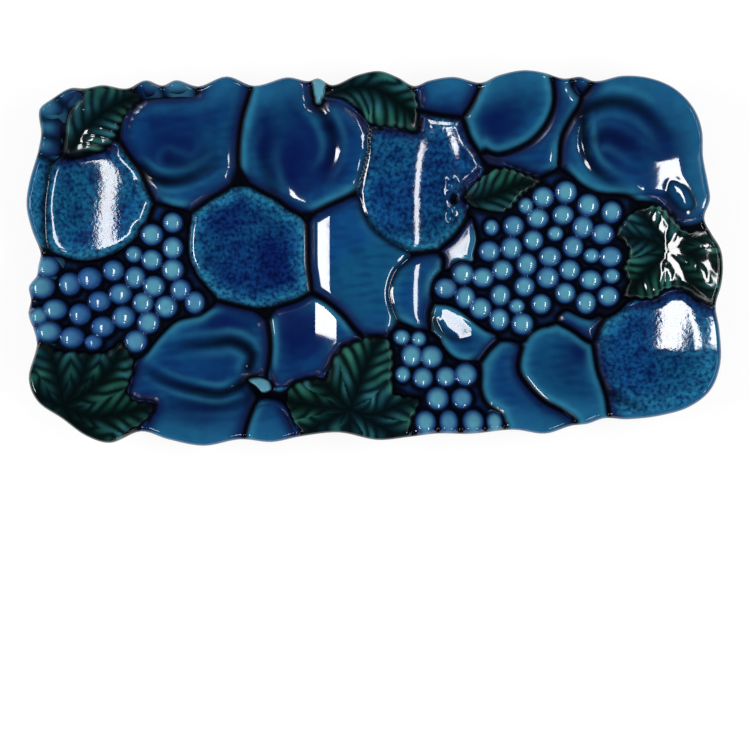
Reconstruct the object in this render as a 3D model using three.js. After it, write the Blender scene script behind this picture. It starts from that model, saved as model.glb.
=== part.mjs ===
// Relish dish: an oblong earthenware dish with two wells, a low saddle between them, a scalloped rim
// and a pile of moulded fruit, leaves and grapes laid over its whole upper face.
// Millimetres, +Z up. The dish stands on z = 0 with the middle of its box over the origin.
import * as THREE from 'three';
import { mergeVertices } from 'three/addons/utils/BufferGeometryUtils.js';

// Driving dimensions
const LENGTH = 310; // over the rim, along X
const WIDTH = 167; // over the rim, along Y
const RIM_HEIGHT = 30.5; // rim above the table at the middle of each side
const CORNER_LIFT = 3; // extra height of the rim at the four corners
const WALL = 5; // thickness of the fired clay
const WALL_RUN = 52; // how far in from the rim the wall comes down to the floor
const WALL_CURVE = 1.65; // power of the wall's hollow curve
const RIM_WAVE = 2; // depth of the scallops, left out of the wall's even outline
const CORNER_RADIUS = 45; // corners of the wall's even outline
const SADDLE_HEIGHT = 17.5; // crest between the two wells, above the table
const SADDLE_SPREAD = 30; // half length of the saddle along X
const SADDLE_CURVE = 4; // power of the saddle's fall from its flat crest to the wells

// Foot rings, one under each well
const FOOT_HEIGHT = 2.5;
const FOOT_INSET = 44; // from the end of the dish in to its ring
const FOOT_LENGTH = 78; // each ring is a rounded square
const FOOT_CORNER = 26;
const FOOT_RING_WIDTH = 5;

// Moulded pieces
const SEAT_GAP = 0.5; // joint between a moulded piece and the dish under it
const GROOVE = 1.3; // between neighbouring pieces
const RIM_MARGIN = 1.2; // bare edge of the rim outside the pieces
const EDGE = 0.9; // height of a piece at its own edge
const FRUIT_RELIEF = 3;
const LEAF_RELIEF = 2.2;
const STEM_RELIEF = 2.4;
const GRAPE_BED = 1;
const GRAPE_RELIEF = 3.2;
const GRAPE_RADIUS = 4.6;
const SMALL_GRAPE_RADIUS = 3.4;
const GRAPE_GROOVE = 0.4; // least gap between grapes, and from a grape to the edge of its bed

// Fineness of the faceted surfaces
const CURVE_STEPS = 6; // along a smooth outline, from one drawn point to the next
const RING_SPACING = 9;
const CROWN_CURVE = 3; // power of a piece's swell from edge to crown
const GRAPE_SIDES = 8;
const GRAPE_SHOULDER = 0.6; // place of the ring between a grape's edge and its crown
const COLUMNS = 26; // spokes along each straight side
const END_SPOKES = 36; // spokes round each end
const UPPER_SHARES = [0, 0.3, 0.42, 0.52, 0.62, 0.72, 0.82, 0.91]; // places along a spoke
const UNDER_SHARES = [0.88, 0.7, 0.5, 0.3, 0];
const LIP_STEPS = 4;
const FOOT_CORNER_STEPS = 6;

// Glaze
const material = (color, roughness) => new THREE.MeshStandardMaterial({ color, roughness, metalness: 0 });
const glaze = {
  body: material(0x12345c, 0.12),
  fruit: material(0x1b4f7d, 0.1),
  orange: material(0x17406f, 0.18),
  grape: material(0x2f6f97, 0.1),
  leaf: material(0x174a3a, 0.14),
  stem: material(0x2f6c72, 0.14),
  foot: material(0xcfc3ad, 0.8),
};

// The rim seen from above, counter-clockwise from the right end: the crests and notches of its lobes.
// All plans are drawn on one sheet, which is then fitted to the length and width of the dish.
const RIM = [
  [152, -21.5], [154.3, -12], [155, -4], [154, 4], [150.3, 11], [147.4, 18],
  [149.6, 26], [148.6, 34], [146.6, 45], [145.6, 57], [141.5, 66.5], [133, 75], [122, 79.7], [110, 80.8],
  [98.5, 78.7], [91, 80.5], [84, 79.8], [76, 82], [66, 83.2], [55, 81.2],
  [47.3, 78.3], [35, 80.6], [24, 79], [17.5, 76.8], [10, 80.5], [2, 83.1], [-8, 81.4],
  [-19, 77.2], [-25.3, 80], [-30, 78.9], [-39, 80.4], [-54, 77], [-66, 80.7],
  [-79, 76.7], [-88.5, 79.1], [-95, 77], [-102, 79], [-111, 75.7], [-121, 76.9],
  [-129, 75.3], [-135, 75], [-144, 69.5], [-148.7, 65], [-148.6, 55], [-150.2, 47],
  [-153.8, 33.5], [-155, 23], [-153, 12.5], [-149.6, 2], [-150.3, -4], [-151, -8], [-154, -13],
  [-153.4, -18.5], [-154.2, -25], [-150.8, -37.5], [-153.6, -54], [-149.5, -64], [-139, -71.7],
  [-128, -79.5], [-117.5, -82.5], [-104.5, -77.5], [-92, -81], [-76, -83.8], [-60, -81],
  [-46, -82.2], [-33, -79.7], [-16, -78], [1, -81.3], [15, -80], [27.5, -78.5], [43, -78.6],
  [62, -76.8], [76, -78.5], [88, -75], [95, -74.2], [103, -71.7], [113, -72.2], [128, -70.4],
  [140, -66.5], [149, -59], [153.5, -47], [153.3, -32],
];

// Moulded pieces from the top of the pile down: each stops short of the ones before it, and of the rim.
const PILE = [
  {
    name: 'stem_back', glaze: glaze.stem, relief: STEM_RELIEF, centre: [-25, 74],
    outline: [[-26.8, 68.5], [-24, 68.5], [-22.8, 74], [-21.8, 83], [-28.5, 83], [-27.4, 75]],
  },
  {
    name: 'stem_front', glaze: glaze.stem, relief: STEM_RELIEF, centre: [-51.3, -56.3],
    outline: [[-57.5, -54.2], [-53.5, -57.3], [-50.5, -60], [-47, -58.7], [-47.3, -55.8], [-52, -53.6]],
  },
  {
    name: 'orange_calyx', glaze: glaze.stem, relief: STEM_RELIEF, centre: [35.2, 27.5],
    outline: [
      [32, 16], [36, 16.5], [38.5, 22], [39.4, 28], [38.8, 33], [35.5, 39], [31, 37], [31, 30], [32, 23],
    ],
  },
  {
    name: 'pear_bud', glaze: glaze.stem, relief: STEM_RELIEF, centre: [137, 28],
    outline: [[131, 30], [134, 25], [139, 21], [142.3, 23], [141.3, 28], [137, 34], [132.5, 35.3]],
  },
  {
    name: 'leaf_back_left', glaze: glaze.leaf, relief: LEAF_RELIEF, centre: [-123, 62],
    outline: [
      [-138.5, 45.3], [-128, 47.2], [-121, 50], [-116, 58], [-112, 64.5], [-107, 69], [-102.5, 72],
      [-108, 74.5], [-114, 75.5], [-121, 75.3], [-127, 74.3], [-131.5, 70.5], [-135.5, 66], [-137.5, 60],
      [-138.8, 53],
    ],
  },
  {
    name: 'leaf_back_centre', glaze: glaze.leaf, relief: LEAF_RELIEF, centre: [4, 70],
    outline: [
      [-22.5, 72.3], [-14, 71.3], [-8, 67], [-3, 61.2], [1, 59.3], [9, 59], [18.5, 57], [19.3, 64],
      [18.7, 71], [15.5, 77], [8, 85], [-8, 85], [-15, 77.5],
    ],
  },
  {
    name: 'leaf_right_middle', glaze: glaze.leaf, relief: LEAF_RELIEF, centre: [57, 31.5],
    outline: [
      [40, 28.5], [43, 25.5], [48, 23], [55, 21.5], [60, 22.5], [63.5, 25.5], [67, 29], [72, 32],
      [76.5, 35.5], [69, 38.5], [63, 40.8], [58, 41.6], [53, 40.5], [48.5, 37.5], [44, 33],
    ],
  },
  {
    name: 'leaf_right', glaze: glaze.leaf, relief: LEAF_RELIEF, centre: [132, 2],
    outline: [
      [112, -16.5], [118, -17.3], [126, -17.5], [131, -13.5], [138, -13.8], [145, -19], [151, -20.5],
      [157, -14], [158, -4], [156, 6], [151, 13], [145, 12.5], [140, 12], [136, 15.5], [133.5, 19],
      [128, 24], [121, 23.3], [115, 20.3], [111, 16], [108.5, 10.5], [113, 8], [115.5, 3], [112.5, -4],
      [115, -10],
    ],
  },
  {
    name: 'leaf_front', glaze: glaze.leaf, relief: LEAF_RELIEF, centre: [-8, -63],
    outline: [
      [-39.8, -64], [-37, -71], [-34, -76], [-29, -78.5], [-18, -82], [-4, -84], [8, -84], [15, -81],
      [16.5, -74], [20.5, -62.5], [13, -62], [8, -60], [8.5, -50], [8, -41], [5, -36], [-2, -35],
      [-8, -37.5], [-14, -39.8], [-17, -43], [-20, -48], [-22.3, -54.5], [-27, -53.8], [-32, -54.5],
      [-37.5, -57],
    ],
  },
  {
    name: 'leaf_front_left', glaze: glaze.leaf, relief: LEAF_RELIEF, centre: [-129, -63],
    outline: [
      [-150.5, -39], [-155, -47], [-157, -55], [-153, -62], [-146, -69], [-137, -76], [-127, -83],
      [-117, -85], [-112.5, -80.5], [-109.5, -76.8], [-103.5, -73.5], [-99, -65.7], [-108, -64],
      [-111.8, -59.8], [-110.7, -54.5], [-109.3, -48], [-111, -42], [-115, -36.3], [-120, -40.5],
      [-125, -42], [-133, -41.5], [-142, -41], [-146, -37.7],
    ],
  },
  {
    name: 'plum_back_right', glaze: glaze.fruit, relief: FRUIT_RELIEF, centre: [61, 66],
    outline: [
      [55, 47.5], [62, 49], [70, 53], [76, 59], [79.7, 67], [79.7, 75], [76, 84], [67, 87], [57, 86],
      [50, 79], [45, 71], [42.3, 62], [44, 55], [49, 50],
    ],
  },
  {
    name: 'plum_front_right', glaze: glaze.fruit, relief: FRUIT_RELIEF, centre: [83, -50],
    outline: [
      [65, -50], [69, -57], [76, -64], [84, -68.5], [89, -72], [93, -77], [99, -74], [101.7, -66],
      [101, -58], [98.7, -50], [97, -40], [92, -35], [85, -31], [77, -29.7], [70, -33.5], [66.3, -41],
    ],
  },
  {
    name: 'orange_right', glaze: glaze.orange, relief: FRUIT_RELIEF, centre: [127, -44],
    outline: [
      [106, -61], [108, -69], [113, -76], [128, -75], [141, -71], [153, -62], [158, -48], [157, -32],
      [152, -24.5], [146, -21], [138.5, -15], [132, -16], [126, -19.5], [118, -20.5], [111, -23.5],
      [104, -31], [101.6, -40], [102.7, -50],
    ],
  },
  {
    name: 'orange_left', glaze: glaze.orange, relief: FRUIT_RELIEF, centre: [-125, 25],
    outline: [
      [-145.5, 4], [-134, -1], [-123, 0.5], [-112, 6], [-105, 14], [-102, 23], [-104.5, 33],
      [-109.5, 43], [-118.5, 51], [-129, 48], [-139, 45], [-144, 37], [-146.3, 22],
    ],
  },
  {
    name: 'orange_rind_left', glaze: glaze.fruit, relief: STEM_RELIEF, centre: [-150.3, 24],
    outline: [
      [-159, 22], [-157, 10], [-151, 2.5], [-146.6, 4.5], [-147.2, 14], [-147.6, 24], [-146.5, 33],
      [-147.5, 44], [-153, 47], [-159, 36],
    ],
  },
  {
    name: 'orange_centre_left', glaze: glaze.orange, relief: FRUIT_RELIEF, centre: [-58, 6],
    outline: [
      [-81.5, -7], [-75, -13.5], [-66, -18], [-56, -19.3], [-45, -18.3], [-35, -16.5], [-31, -12],
      [-30.6, 0], [-31.6, 11], [-36, 18.5], [-42, 23.5], [-48, 28], [-56, 30.6], [-64, 30.6],
      [-72, 28], [-79, 22.3], [-84, 14], [-85.3, 4],
    ],
  },
  {
    name: 'orange_centre_right', glaze: glaze.orange, relief: FRUIT_RELIEF, centre: [18, 34],
    outline: [
      [-5.3, 24], [-1, 15.5], [5, 9.7], [12, 6], [20, 4.3], [28, 5.3], [36, 12], [41, 19.5], [41, 28],
      [41.5, 35], [46, 38], [47.3, 42], [45, 47], [41.5, 54], [38, 60], [30, 62.8], [22, 63.2],
      [19.5, 57], [8, 57.5], [-1.5, 57], [-3, 45], [-5.5, 33],
    ],
  },
  {
    name: 'peach_back_centre', glaze: glaze.fruit, relief: FRUIT_RELIEF, centre: [-33, 50],
    outline: [
      [-59.3, 44], [-55, 37], [-50, 32], [-43, 28.5], [-37, 24.3], [-28, 23.8], [-20, 26.3], [-13, 30],
      [-7, 36], [-4, 45], [-2, 53], [-4.5, 60], [-10, 65.3], [-17, 69.3], [-23, 70], [-27, 71],
      [-28.6, 73], [-29.5, 80], [-33, 85], [-44, 85], [-51.5, 80], [-53.5, 73], [-58.3, 62],
      [-60.3, 52],
    ],
  },
  {
    name: 'berries_back_rim', glaze: glaze.fruit, centre: [-95, 74],
    outline: [
      [-110, 73.5], [-104, 71.8], [-96, 72], [-84, 72.6], [-79, 74], [-80, 80], [-85, 83], [-92, 83],
      [-95, 80], [-98, 83], [-106, 84], [-111, 80],
    ],
    berries: [[-101, 75, 5, 2.6], [-88.3, 75, 5, 2.6]],
  },
  {
    name: 'peach_back_left', glaze: glaze.fruit, relief: FRUIT_RELIEF, centre: [-85, 50],
    outline: [
      [-110.5, 48], [-105.5, 41], [-102.5, 33], [-98, 27], [-91, 24], [-84, 25], [-77, 28.3],
      [-70, 32.7], [-66, 40], [-63.3, 50], [-61.5, 62], [-59, 72], [-57, 82], [-68, 86], [-78, 82],
      [-83, 73.5], [-97, 72], [-106, 68.7], [-110.5, 62], [-112, 55],
    ],
  },
  {
    name: 'plum_back_centre', glaze: glaze.fruit, relief: FRUIT_RELIEF, centre: [33, 73],
    outline: [
      [20.8, 73], [21.5, 68], [27, 65.2], [38, 66], [42.3, 69], [45.5, 76], [46, 85], [35, 86],
      [24, 85], [19.5, 79],
    ],
  },
  {
    name: 'plum_back_right_behind', glaze: glaze.fruit, relief: FRUIT_RELIEF, centre: [81, 56],
    outline: [
      [64, 46], [68, 41.5], [74, 38.7], [79.5, 40.7], [82.4, 46], [83.4, 55], [86.3, 63], [89.3, 70],
      [88, 76], [83.5, 86], [76, 84], [70, 66],
    ],
  },
  {
    name: 'berry_back_right', glaze: glaze.fruit, relief: STEM_RELIEF, centre: [91, 78],
    outline: [[86, 78.5], [90.5, 75], [95.5, 77], [97, 85], [86, 86]],
  },
  {
    name: 'pear_back_right', glaze: glaze.fruit, relief: FRUIT_RELIEF, centre: [133, 53],
    outline: [
      [87, 41], [93, 34.3], [101, 30.3], [112, 29.3], [122, 29], [129, 27], [132.5, 23], [135, 19],
      [139, 17], [143, 17.5], [147, 19.5], [153, 22], [153, 30], [151, 45], [149, 58], [145, 69],
      [136, 79], [122, 85], [110, 86], [99, 83], [96, 74], [93.5, 67], [89, 61], [85.5, 55],
      [84.7, 48],
    ],
  },
  {
    name: 'plum_front_right_behind', glaze: glaze.fruit, relief: FRUIT_RELIEF, centre: [57, -58],
    outline: [
      [47.7, -54], [49, -62], [54, -68], [58, -74], [62, -81], [76, -84], [88, -80], [90, -74],
      [82, -66], [76, -60], [72, -54], [70, -48], [68, -42], [64, -37.5], [60, -36.5], [55, -39.5],
      [50.5, -46],
    ],
  },
  {
    name: 'plum_front_right_small', glaze: glaze.fruit, relief: STEM_RELIEF, centre: [94, -28.5],
    outline: [
      [83, -25.5], [86, -28], [91, -31], [97, -35], [100, -30.5], [102.3, -24.5], [98, -26.5],
      [92, -25], [87, -22.5],
    ],
  },
  {
    name: 'apricot_front', glaze: glaze.fruit, relief: FRUIT_RELIEF, centre: [37, -33],
    outline: [
      [24.5, -27], [27, -32], [30.5, -36], [31.5, -39.5], [35, -44], [41, -46.5], [46, -44.5],
      [50.5, -40], [56, -34.2], [50, -31], [43, -26.5], [37, -22], [31, -19.8], [26, -21.5],
    ],
  },
  {
    name: 'plum_saddle_right', glaze: glaze.fruit, relief: FRUIT_RELIEF, centre: [17, -14],
    outline: [
      [7.5, -15], [9.5, -23], [14, -29], [20, -32], [24, -30.5], [24.6, -26], [25.2, -22], [25.5, -15],
      [27, -9], [30, -5], [30.5, 0], [27, 2.5], [20, 0.8], [14, -2.5], [9.5, -8],
    ],
  },
  {
    name: 'plum_saddle_back', glaze: glaze.fruit, relief: STEM_RELIEF, centre: [39.5, 4.5],
    outline: [
      [31.7, -5], [35, -4.5], [39, -1.8], [45.5, -1], [45.5, 3], [47, 9.5], [46, 15], [44, 20],
      [41.5, 16.5], [36, 9], [31, 4.5], [32, 0],
    ],
  },
  {
    name: 'plum_front_centre', glaze: glaze.fruit, relief: FRUIT_RELIEF, centre: [-31, -37],
    outline: [
      [-46.5, -30], [-47.3, -42], [-46.5, -52], [-45.5, -57], [-40, -57], [-34, -55], [-26, -52.5],
      [-22, -49], [-18, -42], [-13.5, -38.5], [-7, -35.5], [-10.5, -30], [-16, -24], [-22, -20],
      [-28, -18], [-36, -20.3], [-43, -24],
    ],
  },
  {
    name: 'plum_front_rim', glaze: glaze.fruit, relief: FRUIT_RELIEF, centre: [-47, -74],
    outline: [
      [-57, -77], [-56, -86], [-40, -87], [-35, -80], [-37, -76], [-38.5, -72.5], [-41.5, -68],
      [-46, -65.5], [-52, -66.3], [-55.3, -71.5],
    ],
  },
  {
    name: 'peach_front_left', glaze: glaze.fruit, relief: FRUIT_RELIEF, centre: [-78, -50],
    outline: [
      [-103, -40.5], [-107.8, -47.5], [-109, -55], [-110, -60], [-107, -62.5], [-98.5, -64],
      [-98, -67], [-101.5, -74.5], [-103, -85], [-90, -88], [-75, -90], [-62, -86],
      [-59, -79], [-57, -71], [-56, -63], [-59.5, -57], [-57, -53.5], [-52, -51.5], [-49, -46.5],
      [-47.7, -40], [-49, -33], [-54, -27], [-62, -23], [-72, -21], [-80, -24.5], [-90, -27],
      [-97, -33],
    ],
  },
  {
    name: 'pear_saddle', glaze: glaze.fruit, relief: FRUIT_RELIEF, centre: [-11, 0],
    outline: [
      [-29.5, -5], [-26, -13.5], [-20.5, -19], [-14, -25.5], [-8.5, -32], [-4, -34], [4, -34.5],
      [8.5, -31], [7.5, -25], [5.7, -18], [6, -12], [8.5, -5], [13, -0.5], [14, 2], [11, 4], [4, 8.5],
      [-2, 13.5], [-6, 21], [-8, 26.5], [-15, 25], [-22, 22], [-27, 17], [-29.5, 10], [-30, 3],
    ],
  },
  {
    name: 'berries_back_left', glaze: glaze.fruit, centre: [-144.3, 61],
    outline: [
      [-146, 45.5], [-141, 47.5], [-139.8, 54], [-138.5, 61], [-136.3, 66.5], [-131.5, 71.5],
      [-128.5, 76], [-130, 81], [-136, 81], [-142, 79], [-148, 74], [-153, 68], [-154, 61], [-154, 55],
      [-155, 50], [-155, 46],
    ],
    berries: [
      [-134.8, 71.8, 3, 2.6], [-143.6, 65.2, 3.6, 3], [-143.2, 57, 3.2, 4.6], [-144.6, 49.6, 2.4, 2.2],
    ],
  },
  {
    name: 'grapes_left', glaze: glaze.grape, centre: [-112, -12],
    outline: [
      [-98, 24], [-101, 22], [-105, 14], [-112, 6], [-122, 0], [-133, -2], [-143, 1], [-152, 3],
      [-153, -7], [-158, -14], [-158, -27], [-153, -38], [-146, -37.7], [-142, -41.5], [-132, -42],
      [-122, -42], [-116, -37], [-113, -38.5], [-110, -43], [-103, -41], [-97, -33], [-90, -27],
      [-80, -24.5], [-75, -19], [-79, -10], [-85, 0], [-86, 12], [-88, 21],
    ],
    grapes: [
      [-92, 17], [-101.5, 11.5], [-92, 5.5], [-101.5, 0], [-92, -4.5], [-118.5, -5],
      [-109, -8], [-128.7, -8.7], [-100.5, -12], [-88.5, -13.5], [-115.5, -15.5], [-105.5, -19.5],
      [-95, -21.3], [-82, -19.3], [-124.5, -19], [-137, -11.5], [-146, -4], [-148.3, -13], [-143, -23],
      [-132.7, -25], [-114, -26], [-103, -28.5], [-123, -30.5], [-145.5, -33],
      [-136, -35.5], [-108.5, -37],
    ],
    smallGrapes: [[-109.5, 2.5], [-127, -37.5], [-149.3, -26]],
  },
  {
    name: 'grapes_right', glaze: glaze.grape, centre: [75, 0],
    outline: [
      [43.5, 21], [46, 14], [47, 9], [45.5, 2], [44, -2], [36, -3], [30, -7], [26.5, -12], [28, -18.5],
      [35, -20], [41, -23], [47, -28.5], [55, -34], [62, -36], [72, -35], [82, -26], [88, -22.5],
      [98, -26], [103, -24], [110, -22], [112, -16], [113, -8], [112, -4], [113, -1], [112, 6],
      [111.5, 9], [111, 12], [110, 15], [114, 20], [114, 28], [104, 30], [96, 33], [88, 38], [80, 38],
      [74, 34.5], [68, 30], [64, 22], [58, 20],
    ],
    grapes: [
      [63, 15.5], [76.5, 28.5], [74, 19], [86.8, 30.8], [85.5, 20.5], [97, 25], [107.5, 21.7],
      [94.5, 15], [103.5, 11.8], [72, 9], [52, 4], [62, 5.5], [90, 6], [79.5, 1.5], [107, 1.5],
      [58, -4.5], [69, -2], [49, -8], [40, -6.3], [32, -13], [41, -17], [78.5, -8], [68, -12],
      [57, -16], [48, -22], [88.5, -4.5], [98, -9], [86.5, -15], [75.5, -20], [56.5, -27], [67, -29],
      [96, -19.5], [106, -16.5],
    ],
    smallGrapes: [[53, 14.8], [68.6, 24.6], [82, 12], [98.5, 2], [107.5, -7.3], [64.5, -21]],
  },
  {
    name: 'grapes_front', glaze: glaze.grape, centre: [28, -58],
    outline: [
      [8, -55], [9, -46], [8, -38], [9, -33], [14, -31], [20, -33.5], [26, -36], [30, -41],
      [36, -46], [44, -47.5], [47, -52], [47, -60], [50, -67], [56, -70], [60, -77], [58, -83],
      [40, -84], [22, -84], [15, -82], [17, -72], [20, -64], [14, -59],
    ].reverse(),
    grapes: [
      [16.5, -43.5], [25.5, -44], [21.5, -53.5], [32, -53], [41, -52], [28, -62.8], [39, -62.8],
    ],
    smallGrapes: [[12, -35.3], [19.7, -36], [12.5, -52]],
    berries: [[22.5, -73.2, 4.9, 5.3], [32.9, -73, 4.4, 5.3], [43.8, -72.9, 5, 5.3], [53.3, -73, 3.8, 4.4]],
  },
];

// Fits the drawing sheet to the length and width of the dish.
const curvePoints = (points) => {
  const knots = points.map(([x, y]) => new THREE.Vector3(x, y, 0));
  const curve = new THREE.CatmullRomCurve3(knots, true, 'centripetal');
  return curve.getPoints(points.length * CURVE_STEPS).slice(0, -1);
};
const sheet = new THREE.Box3().setFromPoints(curvePoints(RIM));
const sheetSize = sheet.getSize(new THREE.Vector3());
const sheetCentre = sheet.getCenter(new THREE.Vector3());
const place = ({ x, y }) => new THREE.Vector2(
  ((x - sheetCentre.x) * LENGTH) / sheetSize.x,
  ((y - sheetCentre.y) * WIDTH) / sheetSize.y,
);
const placed = ([x, y]) => place({ x, y });
const smoothOutline = (points) => curvePoints(points).map(place);

// Moves a counter-clockwise outline outwards, or inwards for a negative distance.
function grown(outline, distance) {
  return outline.map((point, index) => {
    const before = outline.at(index - 1);
    const after = outline[(index + 1) % outline.length];
    const along = after.clone().sub(before).normalize();
    return new THREE.Vector2(point.x + along.y * distance, point.y - along.x * distance);
  });
}

// Distance from an origin, along a direction, to the first crossing of an outline.
function distanceTo(outline, origin, direction) {
  let nearest = Infinity;
  outline.forEach((start, index) => {
    const edge = outline[(index + 1) % outline.length].clone().sub(start);
    const offset = start.clone().sub(origin);
    const slant = direction.cross(edge);
    const share = offset.cross(direction) / slant;
    const distance = offset.cross(edge) / slant;
    if (share >= 0 && share <= 1 && distance > 0) {
      nearest = Math.min(nearest, distance);
    }
  });
  return nearest;
}

const rimOutline = smoothOutline(RIM);
const pieceLimit = grown(rimOutline, -RIM_MARGIN);

// Height of the dish's upper face. The wall is a hollow curve in from an even rounded rectangle.
const floorHeight = FOOT_HEIGHT + WALL;
function insetFromRim(x, y) {
  const cornerX = Math.abs(x) - LENGTH / 2 + RIM_WAVE + CORNER_RADIUS;
  const cornerY = Math.abs(y) - WIDTH / 2 + RIM_WAVE + CORNER_RADIUS;
  const outside = Math.hypot(Math.max(cornerX, 0), Math.max(cornerY, 0));
  return CORNER_RADIUS - outside - Math.min(Math.max(cornerX, cornerY), 0);
}
function dishTop(x, y) {
  const fall = Math.exp(-((Math.abs(x) / SADDLE_SPREAD) ** SADDLE_CURVE));
  const base = floorHeight + (SADDLE_HEIGHT - floorHeight) * fall;
  const across = x / LENGTH;
  const along = y / WIDTH;
  const cornerness = (2 * across * along / (across ** 2 + along ** 2 || 1)) ** 2;
  const climb = Math.max(1 - insetFromRim(x, y) / WALL_RUN, 0) ** WALL_CURVE;
  return base + (RIM_HEIGHT + CORNER_LIFT * cornerness - base) * climb;
}
const dishUnder = (x, y) => dishTop(x, y) - WALL;

// Triangles of the skin through a row of rings, each with as many points and running counter-clockwise,
// from the middle of the top over the edge to the middle of the underside. A ring may shrink to a point
// or a line.
function skin(rings) {
  const corners = [];
  const addTriangle = (...points) => {
    const flat = points.some((point, index) => point.distanceTo(points.at(index - 1)) < 1e-6);
    if (!flat) {
      corners.push(...points);
    }
  };
  rings.slice(1).forEach((ring, index) => {
    const last = rings[index];
    ring.forEach((point, side) => {
      const next = (side + 1) % ring.length;
      addTriangle(last[side], point, ring[next]);
      addTriangle(last[side], ring[next], last[next]);
    });
  });
  return corners;
}
const solid = (corners) => mergeVertices(new THREE.BufferGeometry().setFromPoints(corners));

// Dish
function dishShell() {
  const hubReach = (LENGTH - WIDTH) / 2;
  const lipRadius = WALL / 2;
  const spokes = [];
  const addSpoke = (hubX, angle) => {
    const hub = new THREE.Vector2(hubX, 0);
    const direction = new THREE.Vector2(Math.cos(angle), Math.sin(angle));
    const reach = distanceTo(rimOutline, hub, direction);
    const pointAt = (distance, height) => {
      const { x, y } = hub.clone().addScaledVector(direction, distance);
      return new THREE.Vector3(x, y, height(x, y));
    };
    const upper = UPPER_SHARES.map((share) => pointAt(share * reach, dishTop));
    const under = UNDER_SHARES.map((share) => pointAt(share * reach, dishUnder));
    const lipTop = pointAt(reach - lipRadius, dishTop);
    const lip = Array.from({ length: LIP_STEPS + 1 }, (_, step) => {
      const turn = (Math.PI * step) / LIP_STEPS;
      const drop = lipRadius * (1 - Math.cos(turn));
      return pointAt(reach - lipRadius * (1 - Math.sin(turn)), () => lipTop.z - drop);
    });
    spokes.push([...upper, ...lip, ...under]);
  };
  [1, -1].forEach((side) => {
    for (let column = 0; column < COLUMNS; column += 1) {
      addSpoke(side * hubReach * (1 - (2 * column) / COLUMNS), (side * Math.PI) / 2);
    }
    for (let spoke = 0; spoke < END_SPOKES; spoke += 1) {
      addSpoke(-side * hubReach, side * (Math.PI / 2) + (Math.PI * spoke) / END_SPOKES);
    }
  });
  return solid(skin(spokes[0].map((_, row) => spokes.map((spoke) => spoke[row]))));
}

function footRing(side) {
  const middleX = side * (LENGTH / 2 - FOOT_INSET - FOOT_LENGTH / 2);
  const roundedSquare = (inset) => {
    const reach = FOOT_LENGTH / 2 - FOOT_CORNER;
    const radius = FOOT_CORNER - inset;
    return [0, 1, 2, 3].flatMap((corner) => {
      const middle = Math.PI / 4 + (corner * Math.PI) / 2;
      const cornerX = middleX + Math.sign(Math.cos(middle)) * reach;
      const cornerY = Math.sign(Math.sin(middle)) * reach;
      return Array.from({ length: FOOT_CORNER_STEPS + 1 }, (_, step) => {
        const angle = middle + (step / FOOT_CORNER_STEPS - 0.5) * (Math.PI / 2);
        return [cornerX + radius * Math.cos(angle), cornerY + radius * Math.sin(angle)];
      });
    });
  };
  const ring = (inset, height) => roundedSquare(inset).map(([x, y]) => new THREE.Vector3(x, y, height(x, y)));
  const seat = (x, y) => dishUnder(x, y) - SEAT_GAP;
  const table = () => 0;
  const outerSeat = ring(0, seat);
  return solid(skin([
    outerSeat, ring(0, table), ring(FOOT_RING_WIDTH, table), ring(FOOT_RING_WIDTH, seat), outerSeat,
  ]));
}

// Pulls an outline in towards its centre wherever something is in the way.
function clearOutline(outline, centre, blocks) {
  return outline.map((point) => {
    const direction = point.clone().sub(centre).normalize();
    const free = blocks.map((block) => distanceTo(block, centre, direction));
    return centre.clone().addScaledVector(direction, Math.min(point.distanceTo(centre), ...free));
  });
}

// Rings of a piece that follows the upper face of the dish, at shares of the way from its centre to its
// edge, each as high over its seat as `height` says.
const seated = (height) => ({ x, y }) => new THREE.Vector3(x, y, dishTop(x, y) + SEAT_GAP + height);
function rings(outline, centre, shares, height) {
  return shares.map((share) => {
    const lift = seated(height(share));
    return outline.map((point) => lift(centre.clone().lerp(point, share)));
  });
}
function evenShares(outline, centre) {
  const reach = Math.max(...outline.map((point) => point.distanceTo(centre)));
  const steps = Math.max(2, Math.round(reach / RING_SPACING));
  return Array.from({ length: steps + 1 }, (_, step) => step / steps);
}
const swell = (edge, crown) => (share) => edge + (crown - edge) * (1 - share ** CROWN_CURVE);
const onSeat = () => 0;

// A fruit, leaf or stem: a pillow with a thin edge.
function pillow(outline, centre, relief) {
  const shares = evenShares(outline, centre);
  const top = rings(outline, centre, shares, swell(EDGE, relief));
  const underside = rings(outline, centre, shares.toReversed(), onSeat);
  return solid(skin([...top, ...underside]));
}

// Grapes and berries: low domes on one thin bed. Each keeps to its own side of the line between it and
// each neighbour, and inside the edge of the bed.
const nearestOn = (start, end, point) => {
  const edge = end.clone().sub(start);
  const share = point.clone().sub(start).dot(edge) / edge.lengthSq();
  return start.clone().addScaledVector(edge, THREE.MathUtils.clamp(share, 0, 1));
};
function domeFoot(dome, domes, bed) {
  const limits = [];
  const addLimit = (point, share, gap) => {
    const offset = point.clone().sub(dome.centre);
    limits.push({ direction: offset.clone().normalize(), distance: offset.length() * share - gap });
  };
  domes.filter((other) => other !== dome).forEach((other) => {
    addLimit(other.centre, dome.radiusX / (dome.radiusX + other.radiusX), GRAPE_GROOVE / 2);
  });
  bed.forEach((start, index) => {
    addLimit(nearestOn(start, bed[(index + 1) % bed.length], dome.centre), 1, GRAPE_GROOVE);
  });
  return Array.from({ length: GRAPE_SIDES }, (_, side) => {
    const angle = (2 * Math.PI * side) / GRAPE_SIDES;
    const reach = new THREE.Vector2(dome.radiusX * Math.cos(angle), dome.radiusY * Math.sin(angle));
    const direction = reach.clone().normalize();
    const inTheWay = limits.filter((limit) => limit.direction.dot(direction) > 0);
    const free = inTheWay.map((limit) => limit.distance / limit.direction.dot(direction));
    return dome.centre.clone().addScaledVector(direction, Math.min(reach.length(), ...free));
  });
}
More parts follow.
